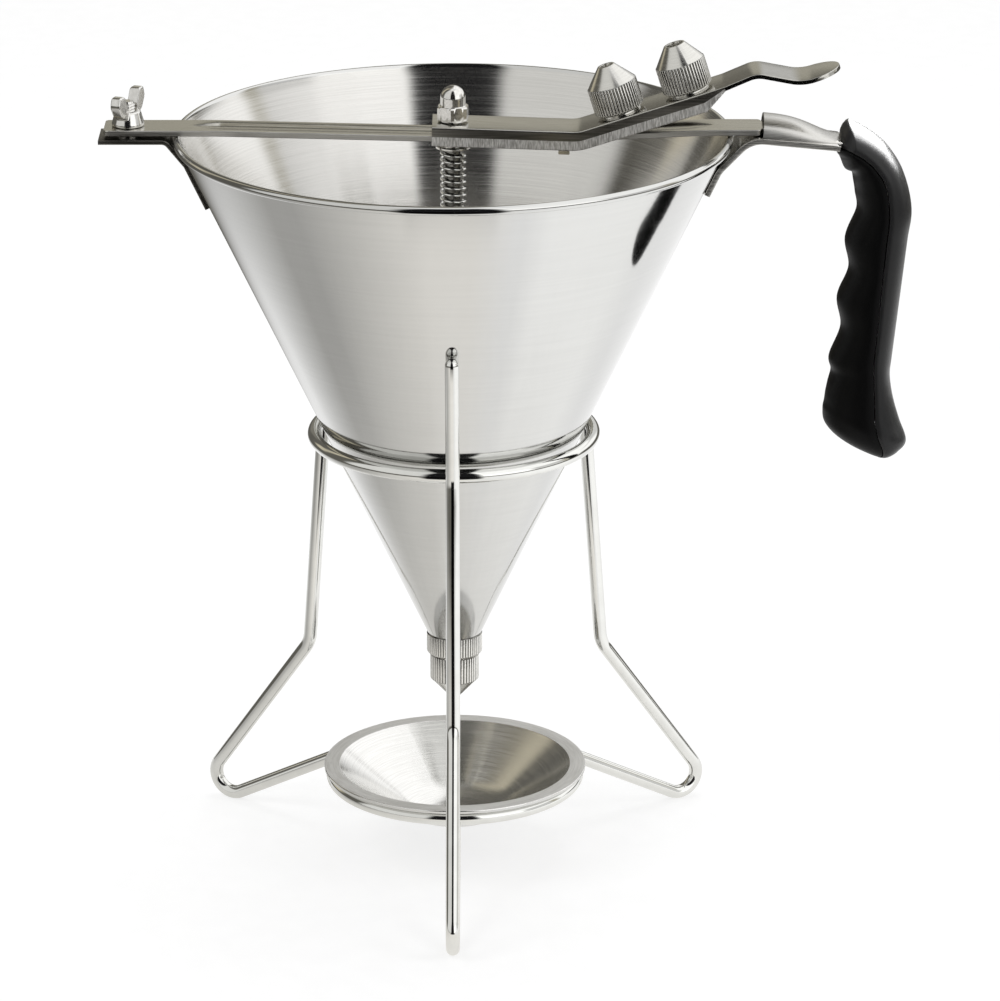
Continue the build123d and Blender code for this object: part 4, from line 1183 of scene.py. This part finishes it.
def lever_section(x):
    """Channel at the front, flat blade behind the ramp, round tip at the end"""
    flat = min(1.0, max(0.0, (x - taper_start) / (taper_end - taper_start)))
    deep = LEVER_DEPTH + (LEVER_SHEET - LEVER_DEPTH) * flat
    half = LEVER_WIDTH / 2
    if x > tip_centre:
        half = max(0.6, sqrt(max(0.0, half * half - (x - tip_centre) ** 2)))
    top, under, low = LEVER_SHEET / 2, -LEVER_SHEET / 2, LEVER_SHEET / 2 - deep
    inner = max(0.3, half - LEVER_SHEET)
    bend, inner_bend = min(0.8 - 0.4 * flat, half * 0.5), min(0.6, 0.65 * (1 - flat))
    foot = 0.3 * (1 - flat) + 0.02
    quarter = (pi / 2, pi / 4, 0)
    hollow = [(inner - inner_bend * (1 - cos(a)), under - inner_bend * (1 - sin(a))) for a in quarter]
    low_edge = [
        (inner, low + foot * 0.5), (inner + foot * 0.5, low), (half - foot, low), (half, low + foot),
        (half, low + 0.5 * (top - low)),
    ]
    turns = [radians(90 - 15 * i) for i in range(7)]
    shoulder = [(half - bend + bend * sin(a), top - bend + bend * cos(a)) for a in turns]
    right = hollow + low_edge + shoulder
    return right + [(-across, up) for across, up in reversed(right)]


# %% [markdown]
# ## Lever in the press
# The sheet is pressed, the low edges of its flanges are ground, and a slot for the rod is cut in the
# front end. The side walls of the flanges are painted dark, as painted shade. The round tip needs
# closer steps than the rest.

# %% Pressed lever
TIP_START = tip_centre + 7.5
LOW_EDGES = (4, 5, 6, 22, 23, 24)
SLOT_RADIUS, SLOT_BACK, SLOT_LENGTH = 3.5, -1.1, 0.6
lever_path = [point for point in finer(lever_line, 1.5) if point.x < TIP_START]
lever_path += [point for point in finer(lever_line, 0.35) if point.x >= TIP_START]
lever = bend_strip(lever_path, lever_section)
lever = piece("pressed_lever", lever, LEVER_STEEL, "lever", "lever")
section_points = len(lever_section(0.0))


def ground_edge(face, spot):
    """Low edges of the flanges; the first two faces of a sweep are its ends"""
    return (face.index - 2) % section_points in LOW_EDGES and spot.x < taper_end


# Painted shade: the side walls of the lever's flanges are painted dark
finish_faces(lever, SHADED_SHEET, lambda face, spot: on_the_side(face, spot) and spot.x < taper_end)
finish_faces(lever, SHEARED, ground_edge)
slot_outline = circle((SLOT_BACK + SLOT_LENGTH, 0), SLOT_RADIUS, 13, -90, 180)
slot_outline += circle((SLOT_BACK, 0), SLOT_RADIUS, 13, 90, 180)
drill(lever, skin([[(x, y, z) for x, y in slot_outline] for z in (LEVER_BOTTOM - 2.0, LEVER_BOTTOM + 8.0)]))

# %% [markdown]
# ## What the lever carries
# A keeper strip closes the channel under the bar. Two studs on the ramp hold the spare nozzles,
# which are the fitted nozzle again with wider tips.

# %% Keeper strip, studs and spare nozzles
KEEPER_WIDTH, KEEPER_SHEET, KEEPER_X = 3.8, 1.3, -4.3
STUD_BASE, STUD_BASE_HEIGHT = 7.0, 0.8
SPARES = (("medium", 15.7, 2.9, 2.0), ("large", 39.8, 3.6, 2.75))
front_arm = Matrix.Translation((FULCRUM_X, 0, LEVER_MIDDLE)) @ Matrix.Rotation(LEVER_TILT, 4, "Y")
keeper_z = LEVER_SHEET / 2 - LEVER_DEPTH - KEEPER_SHEET / 2
keeper_section = slab(KEEPER_WIDTH, KEEPER_SHEET, 0.3)
keeper = skin([
    [front_arm @ Vector((KEEPER_X + x, across, keeper_z + z)) for x, z in keeper_section]
    for across in (-LEVER_WIDTH / 2, LEVER_WIDTH / 2)
])
piece("keeper", keeper, BAR_STEEL, "lever", "keeper_strip")


def on_ramp(distance, lift):
    """Place on top of the ramp, square to the sheet"""
    spot = ramp_point(distance, LEVER_SHEET / 2 + lift)
    return set_at(spot.x, spot.y, -LEVER_SLOPE, "Y")


stud_top = STUD_BASE_HEIGHT + SPIGOT_LENGTH
stud_corners = [
    (0, 0), (STUD_BASE, 0), (STUD_BASE, STUD_BASE_HEIGHT), (SPIGOT_RADIUS, STUD_BASE_HEIGHT),
    (SPIGOT_RADIUS, stud_top), (0, stud_top),
]
for name, distance, tip, hole in SPARES:
    boss = lathe(rounded(stud_corners, [0.1, 0.2, 0.1, 0.3], 30.0), 96)
    seat = on_ramp(distance, 0.0)
    piece(name + "_boss", boss, TURNED, "lever", name + "_stud", place=seat)
    seat = on_ramp(distance, STUD_BASE_HEIGHT + NOZZLE_GAP)
    node = name + "_nozzle"
    spare = piece(name + "_tip", nozzle(tip, hole), TURNED, node, node, place=seat)
    finish_knurl(spare, 0.3, NOZZLE_GRIP, NOZZLE_RADIUS)

# %% [markdown]
# ## Plunger
# A rod runs from the stopper in the outlet up through the bar and the lever into an acorn nut.
# A spring between two washers pushes it down onto the seat. All these are lathe work, and the nut
# takes its six flats from the radius of a hexagon.

# %% Rod, guide, washers and clip
ROD_RADIUS, ROD_NECK, ROD_IN_NUT = 3.0, 2.4, 8.0
GUIDE_BORE, GUIDE_RADIUS, GUIDE_HEIGHT, GUIDE_DROP = 3.1, 4.3, 1.8, 2.8
WASHER_BORE, WASHER_RADIUS, WASHER_THICKNESS = 3.3, 5.9, 1.0
SPRING_LENGTH = 42.0
CLIP_RADIUS, CLIP_WIDTH, CLIP_THICKNESS, CLIP_MOUTH = 3.6, 2.4, 0.9, 52.0
PLUG_GAP, PLUG_NOSE = 0.3, 1.6
rod_dip = BAR_DIP / (DIP_REACH - DIP_START) * -DIP_START
guide_bottom = BAR_BOTTOM - rod_dip - GUIDE_DROP
spring_top = guide_bottom - WASHER_THICKNESS
spring_bottom = spring_top - SPRING_LENGTH
clip_top = spring_bottom - WASHER_THICKNESS
clip_bottom = clip_top - CLIP_THICKNESS
nut_bottom = LEVER_BOTTOM + FULCRUM_X * tan(LEVER_TILT) + LEVER_SHEET + 0.5
plug_low = FOOT_HEIGHT - SEAT_DEPTH + PLUG_GAP
rod_foot, rod_top = plug_low + PLUG_NOSE, nut_bottom + ROD_IN_NUT

rod_outline = [
    (0, rod_foot), (ROD_RADIUS, rod_foot), (ROD_RADIUS, clip_bottom), (ROD_NECK, clip_bottom),
    (ROD_NECK, clip_top), (ROD_RADIUS, clip_top), (ROD_RADIUS, rod_top), (0, rod_top),
]
# Painted reflection: the rod is painted dark, for the dark that it mirrors inside the cone
piece("shaded_rod", lathe(rod_outline, 64), SHADED_STEEL, "plunger", "plunger_rod")
guide_top = guide_bottom + GUIDE_HEIGHT
guide_outline = [
    (GUIDE_BORE, guide_bottom), (GUIDE_RADIUS, guide_bottom),
    (GUIDE_RADIUS, guide_top), (GUIDE_BORE, guide_top),
]
piece("guide_sleeve", lathe(guide_outline, 64), TURNED, "funnel", "rod_guide")
for name, top, body in (("upper", guide_bottom, "funnel"), ("lower", spring_bottom, "plunger")):
    corners = [
        (WASHER_BORE, top - 0.8), (WASHER_BORE, top), (5.0, top), (WASHER_RADIUS, top - 0.2),
        (WASHER_RADIUS, top - WASHER_THICKNESS), (4.9, top - 0.8), (WASHER_BORE, top - 0.8),
    ]
    dish = lathe(rounded(corners, [0.1, 0.4, 0.15, 0.1, 0.4], 30.0)[:-1], 96)
    piece(name + "_dished_washer", dish, TURNED, body, name + "_washer")

clip_section = slab(CLIP_WIDTH, CLIP_THICKNESS, 0.15)
clip_middle = clip_top - CLIP_THICKNESS / 2
clip_turns = [radians(-90 + CLIP_MOUTH / 2 + (360 - CLIP_MOUTH) * i / 48) for i in range(49)]
clip = skin([
    [((CLIP_RADIUS + x) * cos(a), (CLIP_RADIUS + x) * sin(a), clip_middle + z) for x, z in clip_section]
    for a in clip_turns
])
piece("snap_clip", clip, BAR_STEEL, "plunger", "retaining_clip")

# %% Stopper
PLUG_RADIUS, PLUG_BAND, PLUG_TOP_RADIUS, PLUG_TOP = 7.2, 3.2, 4.5, 6.7
plug_slope = (SEAT_RADIUS - BORE_RADIUS) / SEAT_DEPTH
plug_nose = BORE_RADIUS - PLUG_GAP
plug_band = plug_low + (PLUG_RADIUS - plug_nose) / plug_slope
plug_corners = [
    (0, plug_low - PLUG_NOSE), (plug_nose - 0.8, plug_low - PLUG_NOSE), (plug_nose, plug_low),
    (PLUG_RADIUS, plug_band), (PLUG_RADIUS, plug_band + PLUG_BAND), (PLUG_TOP_RADIUS, plug_band + PLUG_TOP),
    (0, plug_band + PLUG_TOP),
]
plug_mesh = lathe(rounded(plug_corners, [0.4, 0.4, 0.5, 0.8, 1.2], 10.0), 96)
piece("silicone_stopper", plug_mesh, SILICONE, "plunger", "stopper")

# %% Acorn nut
NUT_FLATS, NUT_HEX, NUT_HEIGHT, NUT_DOME = 5.0, 5.0, 12.0, 4.3
NUT_CORNER, NUT_FACE, NUT_CHAMFER = 5.8, 5.05, 0.42
NUT_BORE, NUT_DEPTH, NUT_TURN = ROD_RADIUS + 0.05, 8.05, radians(-7.0)


def hexagon(angle, radius, height):
    """Radius of the hexagon part of the nut; the dome above it stays round"""
    if height > NUT_HEX + 0.01:
        return radius
    off_flat = (angle + pi / 6) % (pi / 3) - pi / 6
    return min(radius, NUT_FLATS / cos(off_flat))


acorn = [
    (NUT_BORE, 0.0), (NUT_FACE, 0.0), (NUT_CORNER, NUT_CHAMFER), (NUT_CORNER, NUT_HEX / 2),
    (NUT_CORNER, NUT_HEX - NUT_CHAMFER), (NUT_FACE, NUT_HEX), (NUT_DOME + 0.15, NUT_HEX + 0.02),
    (NUT_DOME, NUT_HEX + 0.25),
]
acorn += circle((0, NUT_HEIGHT - NUT_DOME), NUT_DOME, 20, 0, 90)
acorn += [(0, NUT_DEPTH), (NUT_BORE, NUT_DEPTH)]
on_rod = set_at(0, nut_bottom, NUT_TURN, "Z")
acorn = lathe(acorn, 144, hexagon)
piece("acorn", acorn, TUMBLED_AND_SHEEN, "plunger", "acorn_nut", place=on_rod, crease=24)

# %% [markdown]
# ## Spring
# The spring is one wire wound eighteen times between the washers. It is drawn as a wire along a
# helix.

# %% Spring
SPRING_RADIUS, SPRING_WIRE, SPRING_TURNS, SPRING_PLAY = 4.05, 0.42, 18, 0.05


def spring_point(turns):
    """Point on the wire, some turns below the upper washer"""
    pitch = (SPRING_LENGTH - 2 * (SPRING_WIRE + SPRING_PLAY)) / SPRING_TURNS
    angle = 2 * pi * turns
    height = spring_top - SPRING_WIRE - SPRING_PLAY - pitch * turns
    return Vector((SPRING_RADIUS * cos(angle), SPRING_RADIUS * sin(angle), height))


coil = [spring_point(i / 32) for i in range(32 * SPRING_TURNS + 1)]
spring = piece("wound_spring", draw_wire(coil, SPRING_WIRE, 12), WIRE, "funnel", "spring")
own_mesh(spring)
